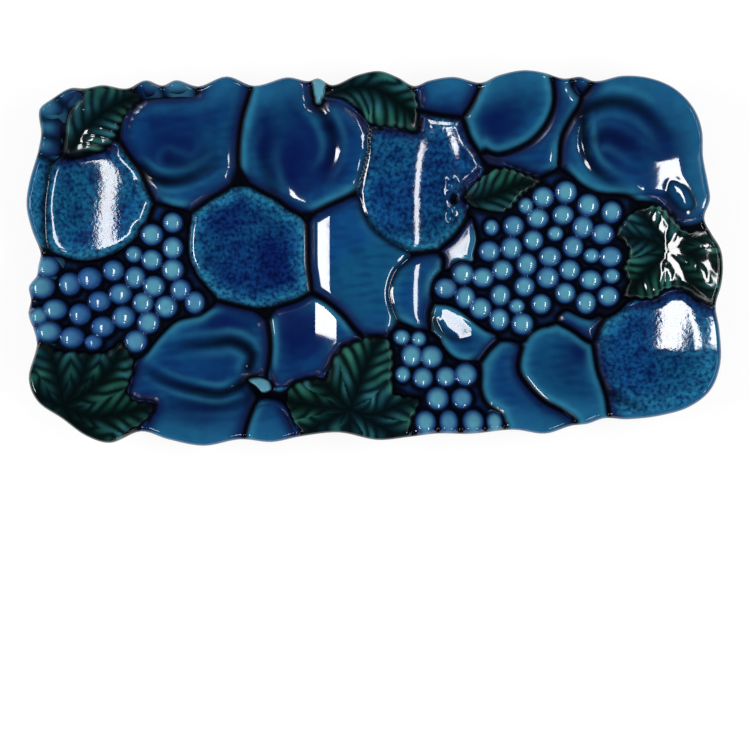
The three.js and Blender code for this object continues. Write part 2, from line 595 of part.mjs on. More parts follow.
function bunch(bed, bedCentre, domes) {
  const feet = domes.map((dome) => domeFoot(dome, domes, bed));
  const bedPoints = [bed, ...feet].flat().map(seated(GRAPE_BED));
  const bedTop = THREE.ShapeUtils.triangulateShape(bed, feet).flat().map((corner) => bedPoints[corner]);
  const domeTops = feet.flatMap((foot, index) => (
    skin(rings(foot, domes[index].centre, [0, GRAPE_SHOULDER, 1], swell(GRAPE_BED, GRAPE_RELIEF)))
  ));
  const underside = rings(bed, bedCentre, evenShares(bed, bedCentre).toReversed(), onSeat);
  return solid([...bedTop, ...domeTops, ...skin([bed.map(seated(GRAPE_BED)), ...underside])]);
}
const oval = ([x, y, radiusX, radiusY]) => ({ centre: placed([x, y]), radiusX, radiusY });
const round = (radius) => ([x, y]) => oval([x, y, radius, radius]);
const domesOf = ({ grapes = [], smallGrapes = [], berries = [] }) => [
  ...grapes.map(round(GRAPE_RADIUS)), ...smallGrapes.map(round(SMALL_GRAPE_RADIUS)), ...berries.map(oval),
];

// The whole dish
const dish = new THREE.Group();
function addPiece(name, geometry, finish) {
  geometry.computeVertexNormals();
  const mesh = new THREE.Mesh(geometry, finish);
  mesh.name = name;
  dish.add(mesh);
}

addPiece('dish_shell', dishShell(), glaze.body);
addPiece('foot_ring_left', footRing(-1), glaze.foot);
addPiece('foot_ring_right', footRing(1), glaze.foot);

const blocks = [pieceLimit];
PILE.forEach((piece) => {
  const centre = placed(piece.centre);
  const outline = clearOutline(piece.outline.map(placed), centre, blocks);
  const domes = domesOf(piece);
  const geometry = domes.length > 0 ? bunch(outline, centre, domes) : pillow(outline, centre, piece.relief);
  addPiece(piece.name, geometry, piece.glaze);
  blocks.push(grown(smoothOutline(piece.outline), GROOVE));
});

export default dish;
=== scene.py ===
"""Looks of the relish dish: glazed fruit, leaves and grapes moulded over an oblong two-well dish."""
import math
from types import SimpleNamespace

import bpy
import numpy as np
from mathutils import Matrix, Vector


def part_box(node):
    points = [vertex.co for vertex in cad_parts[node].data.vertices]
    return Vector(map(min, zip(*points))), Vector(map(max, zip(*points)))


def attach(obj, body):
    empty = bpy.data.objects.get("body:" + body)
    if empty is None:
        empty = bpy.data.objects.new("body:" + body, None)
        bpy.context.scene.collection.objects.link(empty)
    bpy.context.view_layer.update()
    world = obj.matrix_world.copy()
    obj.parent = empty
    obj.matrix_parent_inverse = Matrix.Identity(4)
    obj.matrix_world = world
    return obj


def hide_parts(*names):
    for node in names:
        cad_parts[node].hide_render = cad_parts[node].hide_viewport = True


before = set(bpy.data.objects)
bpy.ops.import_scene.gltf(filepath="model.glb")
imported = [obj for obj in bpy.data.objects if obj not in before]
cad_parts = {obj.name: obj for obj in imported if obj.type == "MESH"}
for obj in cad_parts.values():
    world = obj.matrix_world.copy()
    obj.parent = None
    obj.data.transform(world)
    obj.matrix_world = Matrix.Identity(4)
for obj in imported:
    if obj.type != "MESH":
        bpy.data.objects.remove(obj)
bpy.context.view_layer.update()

# Shape of the dish, in millimetres
LENGTH = 310
WIDTH = 167
RIM_HEIGHT = 30.5
CORNER_LIFT = 3
WALL = 5
WALL_RUN = 52
WALL_CURVE = 1.65
RIM_WAVE = 2
CORNER_RADIUS = 45
SADDLE_HEIGHT = 17.5
SADDLE_SPREAD = 30
SADDLE_CURVE = 4
FOOT_HEIGHT = 2.5
FLOOR_HEIGHT = FOOT_HEIGHT + WALL
# How far the pieces spread past their drawn outlines, where there is room.
FRUIT_GROWTH = 3.2
LEAF_GROWTH = 1.0
GRAPE_GROWTH = 1.5
LIP = 2.6  # reach of the rounded edge
GRAPE_RADIUS = 5.2
SMALL_GRAPE_RADIUS = 3.9
REACH = 14  # how far from its outline a piece is felt

# Fineness of the surfaces
CURVE_STEPS = 6
COLUMNS = 286
END_SPOKES = 525
ROWS = 166
LIP_STEPS = 14
UNDER_ROWS = 24
SEAT_ROWS = 8

# The drawing, in millimetres: the points of each line or outline as x and y
RIM = """
    152 -21.5, 154.3 -12, 155 -4, 154 4, 150.3 11, 147.4 18, 149.6 26, 148.6 34, 146.6 45, 145.6 57,
    141.5 66.5, 133 75, 122 79.7, 110 80.8, 98.5 78.7, 91 80.5, 84 79.8, 76 82, 66 83.2, 55 81.2, 47.3 78.3,
    35 80.6, 24 79, 17.5 76.8, 10 80.5, 2 83.1, -8 81.4, -19 77.2, -25.3 80, -30 78.9, -39 80.4, -54 77,
    -66 80.7, -79 76.7, -88.5 79.1, -95 77, -102 79, -111 75.7, -121 76.9, -129 75.3, -135 75, -144 69.5,
    -148.7 65, -148.6 55, -150.2 47, -153.8 33.5, -155 23, -153 12.5, -149.6 2, -150.3 -4, -151 -8, -154 -13,
    -153.4 -18.5, -154.2 -25, -150.8 -37.5, -153.6 -54, -149.5 -64, -139 -71.7, -128 -79.5, -117.5 -82.5,
    -104.5 -77.5, -92 -81, -76 -83.8, -60 -81, -46 -82.2, -33 -79.7, -16 -78, 1 -81.3, 15 -80, 27.5 -78.5,
    43 -78.6, 62 -76.8, 76 -78.5, 88 -75, 95 -74.2, 103 -71.7, 113 -72.2, 128 -70.4, 140 -66.5, 149 -59,
    153.5 -47, 153.3 -32"""

# Moulded pieces from the top of the pile down, with their slots and outlines: each stops short of the
# ones before it, and of the rim.
PILE = [
    ("stem_back", "stem", "-26.8 68.5, -24 68.5, -22.8 74, -21.8 83, -28.5 83, -27.4 75"),
    ("stem_front", "stem", "-57.5 -54.2, -53.5 -57.3, -50.5 -60, -47 -58.7, -47.3 -55.8, -52 -53.6"),
    ("orange_calyx", "stem", "32 16, 36 16.5, 38.5 22, 39.4 28, 38.8 33, 35.5 39, 31 37, 31 30, 32 23"),
    ("pear_bud", "stem", "131 30, 134 25, 139 21, 142.3 23, 141.3 28, 137 34, 132.5 35.3"),
    ("leaf_back_left", "leaf", """
        -138.5 45.3, -128 47.2, -121 50, -116 58, -112 64.5, -107 69, -102.5 72, -108 74.5, -114 75.5,
        -121 75.3, -127 74.3, -131.5 70.5, -135.5 66, -137.5 60, -138.8 53"""),
    ("leaf_back_centre", "leaf", """
        -22.5 72.3, -14 71.3, -8 67, -3 61.2, 1 59.3, 9 59, 18.5 57, 19.3 64, 18.7 71, 15.5 77, 8 85, -8 85,
        -15 77.5"""),
    ("leaf_right_middle", "leaf", """
        40 28.5, 43 25.5, 48 23, 55 21.5, 60 22.5, 63.5 25.5, 67 29, 72 32, 76.5 35.5, 69 38.5, 63 40.8,
        58 41.6, 53 40.5, 48.5 37.5, 44 33"""),
    ("leaf_right", "leaf", """
        112 -16.5, 118 -17.3, 126 -17.5, 131 -13.5, 138 -13.8, 145 -19, 151 -20.5, 157 -14, 158 -4, 156 6,
        151 13, 145 12.5, 140 12, 136 15.5, 133.5 19, 128 24, 121 23.3, 115 20.3, 111 16, 108.5 10.5, 113 8,
        115.5 3, 112.5 -4, 115 -10"""),
    ("leaf_front", "leaf", """
        -39.8 -64, -37 -71, -34 -76, -29 -78.5, -18 -82, -4 -84, 8 -84, 15 -81, 16.5 -74, 20.5 -62.5, 13 -62,
        8 -60, 8.5 -50, 8 -41, 5 -36, -2 -35, -8 -37.5, -14 -39.8, -17 -43, -20 -48, -22.3 -54.5, -27 -53.8,
        -32 -54.5, -37.5 -57"""),
    ("leaf_front_left", "leaf", """
        -150.5 -39, -155 -47, -157 -55, -153 -62, -146 -69, -137 -76, -127 -83, -117 -85, -112.5 -80.5,
        -109.5 -76.8, -103.5 -73.5, -99 -65.7, -108 -64, -111.8 -59.8, -110.7 -54.5, -109.3 -48, -111 -42,
        -115 -36.3, -120 -40.5, -125 -42, -133 -41.5, -142 -41, -146 -37.7"""),
    ("plum_back_right", "fruit", """
        55 47.5, 62 49, 70 53, 76 59, 79.7 67, 79.7 75, 76 84, 67 87, 57 86, 50 79, 45 71, 42.3 62, 44 55,
        49 50"""),
    ("plum_front_right", "fruit", """
        65 -50, 69 -57, 76 -64, 84 -68.5, 89 -72, 93 -77, 99 -74, 101.7 -66, 101 -58, 98.7 -50, 97 -40, 92 -35,
        85 -31, 77 -29.7, 70 -33.5, 66.3 -41"""),
    ("orange_right", "orange", """
        106 -61, 108 -69, 113 -76, 128 -75, 141 -71, 153 -62, 158 -48, 157 -32, 152 -24.5, 146 -21, 138.5 -15,
        132 -16, 126 -19.5, 118 -20.5, 111 -23.5, 104 -31, 101.6 -40, 102.7 -50"""),
    ("orange_left", "orange", """
        -145.5 4, -134 -1, -123 0.5, -112 6, -105 14, -102 23, -104.5 33, -109.5 43, -118.5 51, -129 48,
        -139 45, -144 37, -146.3 22"""),
    ("orange_rind_left", "fruit", """
        -159 22, -157 10, -151 2.5, -146.6 4.5, -147.2 14, -147.6 24, -146.5 33, -147.5 44, -153 47, -159 36"""),
    ("orange_centre_left", "orange", """
        -81.5 -7, -75 -13.5, -66 -18, -56 -19.3, -45 -18.3, -35 -16.5, -31 -12, -30.6 0, -31.6 11, -36 18.5,
        -42 23.5, -48 28, -56 30.6, -64 30.6, -72 28, -79 22.3, -84 14, -85.3 4"""),
    ("orange_centre_right", "orange", """
        -5.3 24, -1 15.5, 5 9.7, 12 6, 20 4.3, 28 5.3, 36 12, 41 19.5, 41 28, 41.5 35, 46 38, 47.3 42, 45 47,
        41.5 54, 38 60, 30 62.8, 22 63.2, 19.5 57, 8 57.5, -1.5 57, -3 45, -5.5 33"""),
    ("peach_back_centre", "fruit", """
        -59.3 44, -55 37, -50 32, -43 28.5, -37 24.3, -28 23.8, -20 26.3, -13 30, -7 36, -4 45, -2 53, -4.5 60,
        -10 65.3, -17 69.3, -23 70, -27 71, -28.6 73, -29.5 80, -33 85, -44 85, -51.5 80, -53.5 73, -58.3 62,
        -60.3 52"""),
    ("berries_back_rim", "fruit", """
        -110 73.5, -104 71.8, -96 72, -84 72.6, -79 74, -80 80, -85 83, -92 83, -95 80, -98 83, -106 84,
        -111 80"""),
    ("peach_back_left", "fruit", """
        -110.5 48, -105.5 41, -102.5 33, -98 27, -91 24, -84 25, -77 28.3, -70 32.7, -66 40, -63.3 50,
        -61.5 62, -59 72, -57 82, -68 86, -78 82, -83 73.5, -97 72, -106 68.7, -110.5 62, -112 55"""),
    ("plum_back_centre", "fruit", """
        20.8 73, 21.5 68, 27 65.2, 38 66, 42.3 69, 45.5 76, 46 85, 35 86, 24 85, 19.5 79"""),
    ("plum_back_right_behind", "fruit", """
        50 47, 58 44.2, 67 41, 74 38.7, 79.5 40.7, 82.4 46, 83.4 55, 86.3 63, 89.3 70, 88 76, 83.5 86, 76 84,
        70 66"""),
    ("berry_back_right", "fruit", "86 78.5, 90.5 75, 95.5 77, 97 85, 86 86"),
    ("pear_back_right", "fruit", """
        87 41, 93 34.3, 101 30.3, 112 29.3, 122 29, 129 27, 132.5 23, 135 19, 139 17, 143 17.5, 147 19.5,
        153 22, 153 30, 151 45, 149 58, 145 69, 136 79, 122 85, 110 86, 99 83, 96 74, 93.5 67, 89 61, 85.5 55,
        84.7 48"""),
    ("plum_front_right_behind", "fruit", """
        47.7 -54, 49 -62, 54 -68, 58 -74, 62 -81, 76 -84, 88 -80, 90 -74, 82 -66, 76 -60, 72 -54, 70 -48,
        68 -42, 64 -37.5, 60 -36.5, 55 -39.5, 50.5 -46"""),
    ("plum_front_right_small", "fruit", """
        83 -25.5, 86 -28, 91 -31, 97 -35, 100 -30.5, 102.3 -24.5, 98 -26.5, 92 -25, 87 -22.5"""),
    ("apricot_front", "fruit", """
        24.5 -27, 27 -32, 30.5 -36, 31.5 -39.5, 35 -44, 41 -46.5, 46 -44.5, 50.5 -40, 56 -34.2, 50 -31,
        43 -26.5, 37 -22, 31 -19.8, 26 -21.5"""),
    ("plum_saddle_right", "fruit", """
        7.5 -15, 9.5 -23, 14 -29, 20 -32, 24 -30.5, 24.6 -26, 25.2 -22, 25.5 -15, 27 -9, 30 -5, 30.5 0, 27 2.5,
        20 0.8, 14 -2.5, 9.5 -8"""),
    ("plum_saddle_back", "fruit", """
        31.7 -5, 35 -4.5, 39 -1.8, 45.5 -1, 45.5 3, 47 9.5, 46 15, 44 20, 41.5 16.5, 36 9, 31 4.5, 32 0"""),
    ("plum_front_centre", "fruit", """
        -46.5 -30, -47.3 -42, -46.5 -52, -45.5 -57, -40 -57, -34 -55, -26 -52.5, -22 -49, -18 -42, -13.5 -38.5,
        -7 -35.5, -10.5 -30, -16 -24, -22 -20, -28 -18, -36 -20.3, -43 -24"""),
    ("plum_front_rim", "fruit", """
        -57 -77, -56 -86, -40 -87, -35 -80, -37 -76, -38.5 -72.5, -41.5 -68, -46 -65.5, -52 -66.3, -55.3 -71.5"""),
    ("peach_front_left", "fruit", """
        -103 -40.5, -107.8 -47.5, -109 -55, -110 -60, -107 -62.5, -98.5 -64, -98 -67, -101.5 -74.5, -103 -85,
        -90 -88, -75 -90, -62 -86, -59 -79, -57 -71, -56 -63, -59.5 -57, -57 -53.5, -52 -51.5, -49 -46.5,
        -47.7 -40, -49 -33, -54 -27, -62 -23, -72 -21, -80 -24.5, -90 -27, -97 -33"""),
    ("pear_saddle", "fruit", """
        -29.5 -5, -26 -13.5, -20.5 -19, -14 -25.5, -8.5 -32, -4 -34, 4 -34.5, 8.5 -31, 7.5 -25, 5.7 -18, 6 -12,
        8.5 -5, 13 -0.5, 14 2, 11 4, 4 8.5, -2 13.5, -6 21, -8 26.5, -15 25, -22 22, -27 17, -29.5 10, -30 3"""),
    ("berries_back_left", "fruit", """
        -146 45.5, -141 47.5, -139.8 54, -138.5 61, -136.3 66.5, -131.5 71.5, -128.5 76, -130 81, -136 81,
        -142 79, -148 74, -153 68, -154 61, -154 55, -155 50, -155 46"""),
    ("grapes_left", "grape", """
        -98 24, -101 22, -105 14, -112 6, -122 0, -133 -2, -143 1, -152 3, -153 -7, -158 -14, -158 -27,
        -153 -38, -146 -37.7, -142 -41.5, -132 -42, -122 -42, -116 -37, -113 -38.5, -110 -43, -103 -41,
        -97 -33, -90 -27, -80 -24.5, -75 -19, -79 -10, -85 0, -86 12, -88 21"""),
    ("grapes_right", "grape", """
        43.5 21, 46 14, 47 9, 45.5 2, 44 -2, 36 -3, 30 -7, 26.5 -12, 28 -18.5, 35 -20, 41 -23, 47 -28.5,
        55 -34, 62 -36, 72 -35, 82 -26, 88 -22.5, 98 -26, 103 -24, 110 -22, 112 -16, 113 -8, 112 -4, 113 -1,
        112 6, 111.5 9, 111 12, 110 15, 114 20, 114 28, 104 30, 96 33, 88 38, 80 38, 74 34.5, 68 30, 64 22,
        58 20"""),
    ("grapes_front", "grape", """
        14 -59, 20 -64, 17 -72, 15 -82, 22 -84, 40 -84, 58 -83, 60 -77, 56 -70, 50 -67, 47 -60, 47 -52,
        44 -47.5, 36 -46, 30 -41, 26 -36, 20 -33.5, 14 -31, 9 -33, 8 -38, 9 -46, 8 -55"""),
]

# Middles of the grapes
GRAPES = {
    "grapes_left": """
        -92 17, -101.5 11.5, -92 5.5, -101.5 0, -92 -4.5, -118.5 -5, -109 -8, -128.7 -8.7, -100.5 -12,
        -88.5 -13.5, -115.5 -15.5, -105.5 -19.5, -95 -21.3, -82 -19.3, -124.5 -19, -137 -11.5, -146 -4,
        -148.3 -13, -143 -23, -132.7 -25, -114 -26, -103 -28.5, -123 -30.5, -145.5 -33, -136 -35.5, -108.5 -37""",
    "grapes_right": """
        63 15.5, 76.5 28.5, 74 19, 86.8 30.8, 85.5 20.5, 97 25, 107.5 21.7, 94.5 15, 103.5 11.8, 72 9, 52 4,
        62 5.5, 90 6, 79.5 1.5, 107 1.5, 58 -4.5, 69 -2, 49 -8, 40 -6.3, 32 -13, 41 -17, 78.5 -8, 68 -12,
        57 -16, 48 -22, 88.5 -4.5, 98 -9, 86.5 -15, 75.5 -20, 56.5 -27, 67 -29, 96 -19.5, 106 -16.5""",
    "grapes_front": "16.5 -43.5, 25.5 -44, 21.5 -53.5, 32 -53, 41 -52, 28 -62.8, 39 -62.8",
}
SMALL_GRAPES = {
    "grapes_left": "-109.5 2.5, -127 -37.5, -149.3 -26",
    "grapes_right": "53 14.8, 68.6 24.6, 82 12, 98.5 2, 107.5 -7.3, 64.5 -21",
    "grapes_front": "12 -35.3, 19.7 -36, 12.5 -52",
}
# Middles and half sizes of the berries
BERRIES = {
    "berries_back_rim": "-101 75 5 2.6, -88.3 75 5 2.6",
    "berries_back_left": "-134.8 71.8 3 2.6, -143.6 65.2 3.6 3, -143.2 57 3.2 4.6, -144.6 49.6 2.4 2.2",
    "grapes_front": "22.5 -73.2 4.9 5.3, 32.9 -73 4.4 5.3, 43.8 -72.9 5 5.3, 53.3 -73 3.8 4.4",
}

# Creases that part the lobes of a fruit: a line from its deep end to its shallow end, depth and width.
CREASES = {
    "peach_back_left": [
        ("-106 41, -100 37, -92 35.5, -83 37.5, -75 41.5, -68 47", 1.3, 2.3),
        ("-93 45, -86 42.5, -80 43, -75.5 48, -74 55", 0.3, 2.6),
    ],
    "peach_back_centre": [
        ("-25 68, -21.5 61.2, -19 55, -18.6 49, -21 42, -27 36", 0.8, 2.6),
        ("-46.5 31, -49 40, -49.5 49, -45 59", 0.4, 2.8),
    ],
    "pear_back_right": [
        ("92 64, 97 67.5, 106 69.5, 117 67, 126.5 59.5, 132 51", 1.0, 2.8),
        ("93.5 62, 93.8 55, 95 49, 99.3 41.4, 108 35, 119 31", 1.0, 2.4),
        ("98 53.5, 104 55.5, 110 53.5, 120 47, 127 41", 0.4, 2.8),
    ],
    "peach_front_left": [
        ("-57 -49, -55.7 -43.4, -59.3 -39.1, -65 -37, -73 -37.7, -85 -39, -96 -41", 1.1, 2.4),
        ("-58 -55, -62.8 -58.3, -69.2 -60.5, -79.9 -59, -94 -54.8, -102.6 -49.8, -107 -46", 1.2, 2.0),
        ("-56.5 -58, -57 -63, -63 -65, -80 -65.5, -97 -63.5", 0.5, 2.4),
    ],
    "apricot_front": [
        ("24 -24, 28 -29.5, 31 -33, 38 -36, 47 -34", 0.9, 2.0),
    ],
    "orange_right": [
        ("103 -58, 112 -64, 124 -69", 0.7, 2.0),
    ],
}
DEEP_CREASE = 1.1  # creases this deep or deeper are the darkest
CREST_OFFSET = 1.9  # the pale crests beside a crease, in widths of it
CREST_WIDTH = 0.7

# Main veins of each leaf, from its stalk, with the spacing of the side veins.
VEINS = {
    "leaf_back_left": (5.4, [
        "-138 46.5, -132 54.5, -125.8 61.5, -116 68.3, -104 73",
    ]),
    "leaf_back_centre": (6.2, [
        "-21 72.3, -10.5 75.5, 0.6 74.9, 8.2 70.6, 15 65.5, 18.4 62",
    ]),
    "leaf_right_middle": (5, [
        "39.7 27, 49 27.9, 57.6 30.9, 66 34.2, 76.5 35.3",
    ]),
    "leaf_right": (5.4, [
        "132 4.5, 122.7 9.2, 109.5 9.8",
        "130.5 8, 123 18, 120 24",
        "133 4.5, 145 0, 155 -8",
        "133 1, 139 -8.7, 149.5 -20",
        "130.5 1, 121.5 -7.4, 113 -17.5",
        "133 5, 141 9, 150 12",
    ]),
    "leaf_front": (6.6, [
        "-11 -67.7, -24 -66.5, -38.5 -64.3",
        "-11 -67.7, -18 -61, -24.5 -54",
        "-11 -67.7, -6.1 -53.3, 1.3 -36.5",
        "-11 -67.7, -1.4 -70, 8.8 -66.3, 20.4 -62.3",
        "-11 -67.7, -11.5 -81",
        "-11 -67.7, -22 -73, -31 -78",
        "-11 -67.7, 2 -75, 13 -81",
    ]),
    "leaf_front_left": (5.8, [
        "-138 -66, -129.6 -60.5, -122.5 -54, -118.2 -47.7, -114.5 -37",
        "-138 -66, -128.2 -70.4, -118.2 -70.4, -108.3 -68.3, -99 -66",
        "-138 -66, -140.2 -57.6, -142.4 -49, -145.5 -39",
        "-138 -66, -145.2 -63.3, -153 -57.6",
        "-138 -66, -134.6 -71.8, -127.5 -77.5, -120 -83",
        "-138 -66, -131.7 -54.8, -129.6 -44",
    ]),
}

# Neighbours that run into each other with a soft dip between them instead of a dark groove.
SOFT_JOINTS = [
    ("orange_left", "orange_rind_left"), ("pear_saddle", "plum_saddle_right"),
    ("orange_rind_left", "berries_back_left"), ("pear_saddle", "orange_centre_right"),
    ("peach_back_centre", "orange_centre_right"),
]
# Spots where the glaze lies deep and dark: middle and half sizes.
SPOTS = [
    (55, 62, 9, 10), (-36.5, 47, 8, 11), (-50.6, 52, 4, 7), (-92, 49, 11, 7), (-37, -32, 9, 12),
    (93, -41, 6, 7), (-68, -29, 13, 5), (-78, -71, 16, 5), (112, 54, 10, 6),
]
LOW_FRUIT = ("pear_saddle", "plum_saddle_right", "peach_back_centre")
STEMS = ("stem_back", "stem_front")
BULBS = ("orange_calyx", "pear_bud")  # bumps on the fruit that carries them
CALYX_PIT = (35.8, 27.2)  # dark hole in the middle of the calyx
PIT_WIDTH, PIT_LENGTH, PIT_DEPTH = 1.9, 2.8, 2
PIT_POWER = 4

# How far the glaze darkens towards the middle of a fruit, where it isn't as usual.
USUAL_DEPTH = 0.75
DEPTHS = {
    "pear_saddle": 0.05, "plum_front_right": 0.4, "plum_front_right_behind": 0.3, "peach_front_left": 0.6,
    "orange_centre_left": 0.95, "orange_right": 0.4, "orange_left": 0.15, "orange_centre_right": 0.5,
    "orange_rind_left": 0.2, "plum_back_centre": 0.3, "plum_front_rim": 0.2, "plum_saddle_right": 0.1,
    "plum_back_right": 0.7, "peach_back_centre": 1.0, "berries_back_left": 0, "berries_back_rim": 0,
}
# Width of the rounded edge of a fruit, where it isn't as usual; narrow ones are flat on top.
USUAL_SHOULDER = 5.2
FLAT_SHOULDER = 4
SHOULDERS = {
    "plum_saddle_back": 2.6, "apricot_front": 3, "plum_front_centre": 3.8, "peach_back_left": 7.5,
    "peach_back_centre": 9, "pear_back_right": 7.5, "peach_front_left": 7.5, "berries_back_left": 3.6,
    "berries_back_rim": 3.6,
}
# How far the leaf on the right sinks along the dish, so that it bends up with the wall.
LEAF_HOLLOW = [(114, 0), (131, 1.6), (152, 0)]
# Height over the wells along the saddle's side under some fruit, which are flatter there than the saddle.
FLANKS = {
    "peach_back_centre": [(-46, 0), (-14, 9.5), (-8, 9.95)],
    "plum_front_centre": [(-44, 0), (-27, 5), (-17, 9.35), (-10, 9.9)],
    "pear_saddle": [(-40, 0.4), (-28.5, 5.2), (-20, 8.3), (-16, 9.2), (-10, 9.9), (10, 9.9), (20, 8.2), (30, 3.7)],
    "plum_saddle_back": [(20, 7.5), (30, 3), (44, -1), (50, -1.1)],
    "apricot_front": [(20, 7.5), (30, 3), (44, -1), (50, -1.1)],
}

# Heights of the forms over the dish
FRUIT_HEIGHT = 2.6
LOW_CROWN, FLAT_CROWN, USUAL_CROWN = 0.4, 0.1, 0.8
CROWN_WIDTH = 16
BUD_HEIGHT, CALYX_HEIGHT, SEPAL_HEIGHT = 0.4, 0.5, 1.2
BUD_MOAT, CALYX_MOAT, MOAT_WIDTH = 0.15, 0.1, 1.3
JOINT_DIP, JOINT_WIDTH = 0.6, 2.2
LOBE_DIP, LOBE_WIDTH = 2.2, 3
STEM_HEIGHT, STEM_EDGE = 2.4, 2.2
LEAF_HEIGHT, LEAF_EDGE = 1.3, 2.4
VALLEY_HEIGHT, VEIN_DEPTH, QUILT_HEIGHT = 0.5, 0.15, 0.14
GRAPE_HEIGHT, GRAPE_EDGE = 3.3, 1.2
GROUND_DEPTH, GROUND_WAVE = 0.7, 0.2
RIM_FADE, RIM_FADE_WIDTH, LOBE_FADE = (0.45, 0.55), 12, 0.7  # the relief flattens towards the rim
DOME_POWER = 2.2
GRAPE_VARIETY = 0.06
LEAF_TEETH = 0.5
LEAF_REACH = 3  # how far outside a leaf its veins are felt
VEIN_SLANT, VEIN_POWER, WOBBLE = 0.9, 2.5, 0.2
SPARE_WIDTH, SPARE_PULL = 1.2, 3  # where and how fast leaves and stems give way over gaps

# Tones of the glaze and of the painted shade: their shares, and where and how widely they lie along the borders
TEAL_SHARE, RIM_SHARE, SPOT_SHARE, CREST_SHARE, BERRY_SHARE = 0.6, 0.6, 0.75, 0.42, 0.4
STREAK_SHARE, STREAK_SQUASH, MOTTLE_SHARE = 0.16, 0.2, 0.3
RING_PLACE, ORANGE_RING, FRUIT_RING = 3.4, 3.6, 2.5
SHADE_SHARE, SHADE_WIDTH = 0.7, 5  # painted shade beside a piece that lies over this one
# deeper glaze and painted shade towards the groove round a piece
EDGE_POOL_AND_SHADE_SHARE, EDGE_POOL_AND_SHADE_WIDTH = 0.4, 3
LIP_PLACE, LIP_WIDTH = 2.4, 1.6
ORANGE_LIP, LOBED_LIP, USUAL_LIP = 0.3, 0, 0.5
CREASE_SHARE = 0.72
SEAM_SHARE, SEAM_WIDTH = 0.5, 1.6
BUD_LINE, CALYX_LINE, LINE_WIDTH = 0.4, 0.1, 1.4
GROOVE_WIDTH, LEAF_GROOVE, STEM_GROOVE = 1.2, 0.7, 0.8
VIOLET_SHARE, LEFT_VIOLET = 0.45, 0.75
LEFT_BUNCH, LEFT_BUNCH_WIDTH = -128, 16
PALE_TEAL_SHARE, VEIN_SHARE = 0.8, 0.4
RIB_SHARE, RIB_WIDTH, RIB_SHADE, RIB_SHADE_WIDTH = 0.8, 0.8, 0.5, 2.5
# where the glaze is rougher and its reflections are dimmed as painted shade: in grooves, and beside pieces lying
# over it
DULL_WIDTH, LEAF_DULL_WIDTH, DULL_SHADE_WIDTH = 1.3, 2, 2.4

# Noise: size of its features, and seed
VEIN_WOBBLE, SEPALS, QUILT, GROUND_LUMPS = (9, 11), (3.5, 17), (7, 31), (4, 41)
CLOUDS, PATCHES, STREAKS, MOTTLES = (14, 3), (27, 8), (2, 29), (5.5, 19)
VIOLETS, LEAF_CLOUDS, LEAF_PATCHES = (16, 5), (7, 13), (18, 23)
WAVE_COUNT = 9
WAVE_STRETCH = (0.7, 1.5)
WAVE_SPREAD = 3

ROUNDNESS = 2.6  # power of the curve of a rounded edge
EYE_GAMMA = 2.2
FAR = 9.0  # share of a dome that stands for none
TINY = 1e-12


def drawn(text):
    """Numbers of each point of a drawing."""
    return [[float(value) for value in point.split()] for point in text.split(",")]


def curve_points(points):
    """Closed centripetal Catmull-Rom curve through the drawn points."""
    knots = np.array(points, float)
    before, after, beyond = (np.roll(knots, shift, axis=0) for shift in (1, -1, -2))
    root = [np.linalg.norm(b - a, axis=1)[:, None] ** 0.5
            for a, b in ((before, knots), (knots, after), (after, beyond))]
    slope_in = root[1] * ((knots - before) / root[0] - (after - before) / (root[0] + root[1])
                          + (after - knots) / root[1])
    slope_out = root[1] * ((after - knots) / root[1] - (beyond - knots) / (root[1] + root[2])
                           + (beyond - after) / root[2])
    steps = [knots + slope_in * t + (3 * (after - knots) - 2 * slope_in - slope_out) * t ** 2
             + (2 * (knots - after) + slope_in + slope_out) * t ** 3
             for t in np.arange(CURVE_STEPS) / CURVE_STEPS]
    return np.stack(steps, axis=1).reshape(-1, 2)


def smooth_line(text):
    """Smooth open curve through the points of a drawing."""
    points = drawn(text)
    there_and_back = points + points[-2:0:-1]
    return curve_points(there_and_back)[:(len(points) - 1) * CURVE_STEPS + 1]


sheet = curve_points(drawn(RIM))
sheet_middle = (sheet.min(axis=0) + sheet.max(axis=0)) / 2
sheet_fit = np.array([LENGTH, WIDTH]) / (sheet.max(axis=0) - sheet.min(axis=0))


def place(points):
    """Fits points of the drawing to the length and width of the dish."""
    return (np.array(points, float) - sheet_middle) * sheet_fit


rim_outline = place(sheet)


def signed_distance(x, y, outline):
    """Distance to a closed outline, below zero inside it."""
    nearest = np.full(x.shape, np.inf)
    inside = np.zeros(x.shape, bool)
    for (ax, ay), (bx, by) in zip(outline, np.roll(outline, -1, axis=0)):
        ex, ey = bx - ax, by - ay
        share = np.clip(((x - ax) * ex + (y - ay) * ey) / (ex * ex + ey * ey), 0, 1)
        nearest = np.minimum(nearest, (x - ax - share * ex) ** 2 + (y - ay - share * ey) ** 2)
        if ay != by:
            inside ^= ((ay > y) != (by > y)) & (x < ex * (y - ay) / ey + ax)
    return np.where(inside, -1, 1) * np.sqrt(nearest)


def near(x, y, points):
    """Which places lie within reach of these points."""
    low, high = points.min(axis=0) - REACH, points.max(axis=0) + REACH
    return (x > low[0]) & (x < high[0]) & (y > low[1]) & (y < high[1])


def along_line(x, y, line):
    """Distance to an open line, above zero on its left, how far along it that is, and the line's length."""
    nearest = np.full(x.shape, np.inf)
    side, travel = np.ones(x.shape), np.zeros(x.shape)
    start = 0.0
    for (ax, ay), (bx, by) in zip(line[:-1], line[1:]):
        ex, ey = bx - ax, by - ay
        length = math.hypot(ex, ey)
        share = np.clip(((x - ax) * ex + (y - ay) * ey) / length ** 2, 0, 1)
        distance = np.hypot(x - ax - share * ex, y - ay - share * ey)
        closer = distance < nearest
        nearest = np.where(closer, distance, nearest)
        travel = np.where(closer, start + share * length, travel)
        side = np.where(closer, np.where(ex * (y - ay) > ey * (x - ax), 1, -1), side)
        start += length
    return nearest * side, travel, start


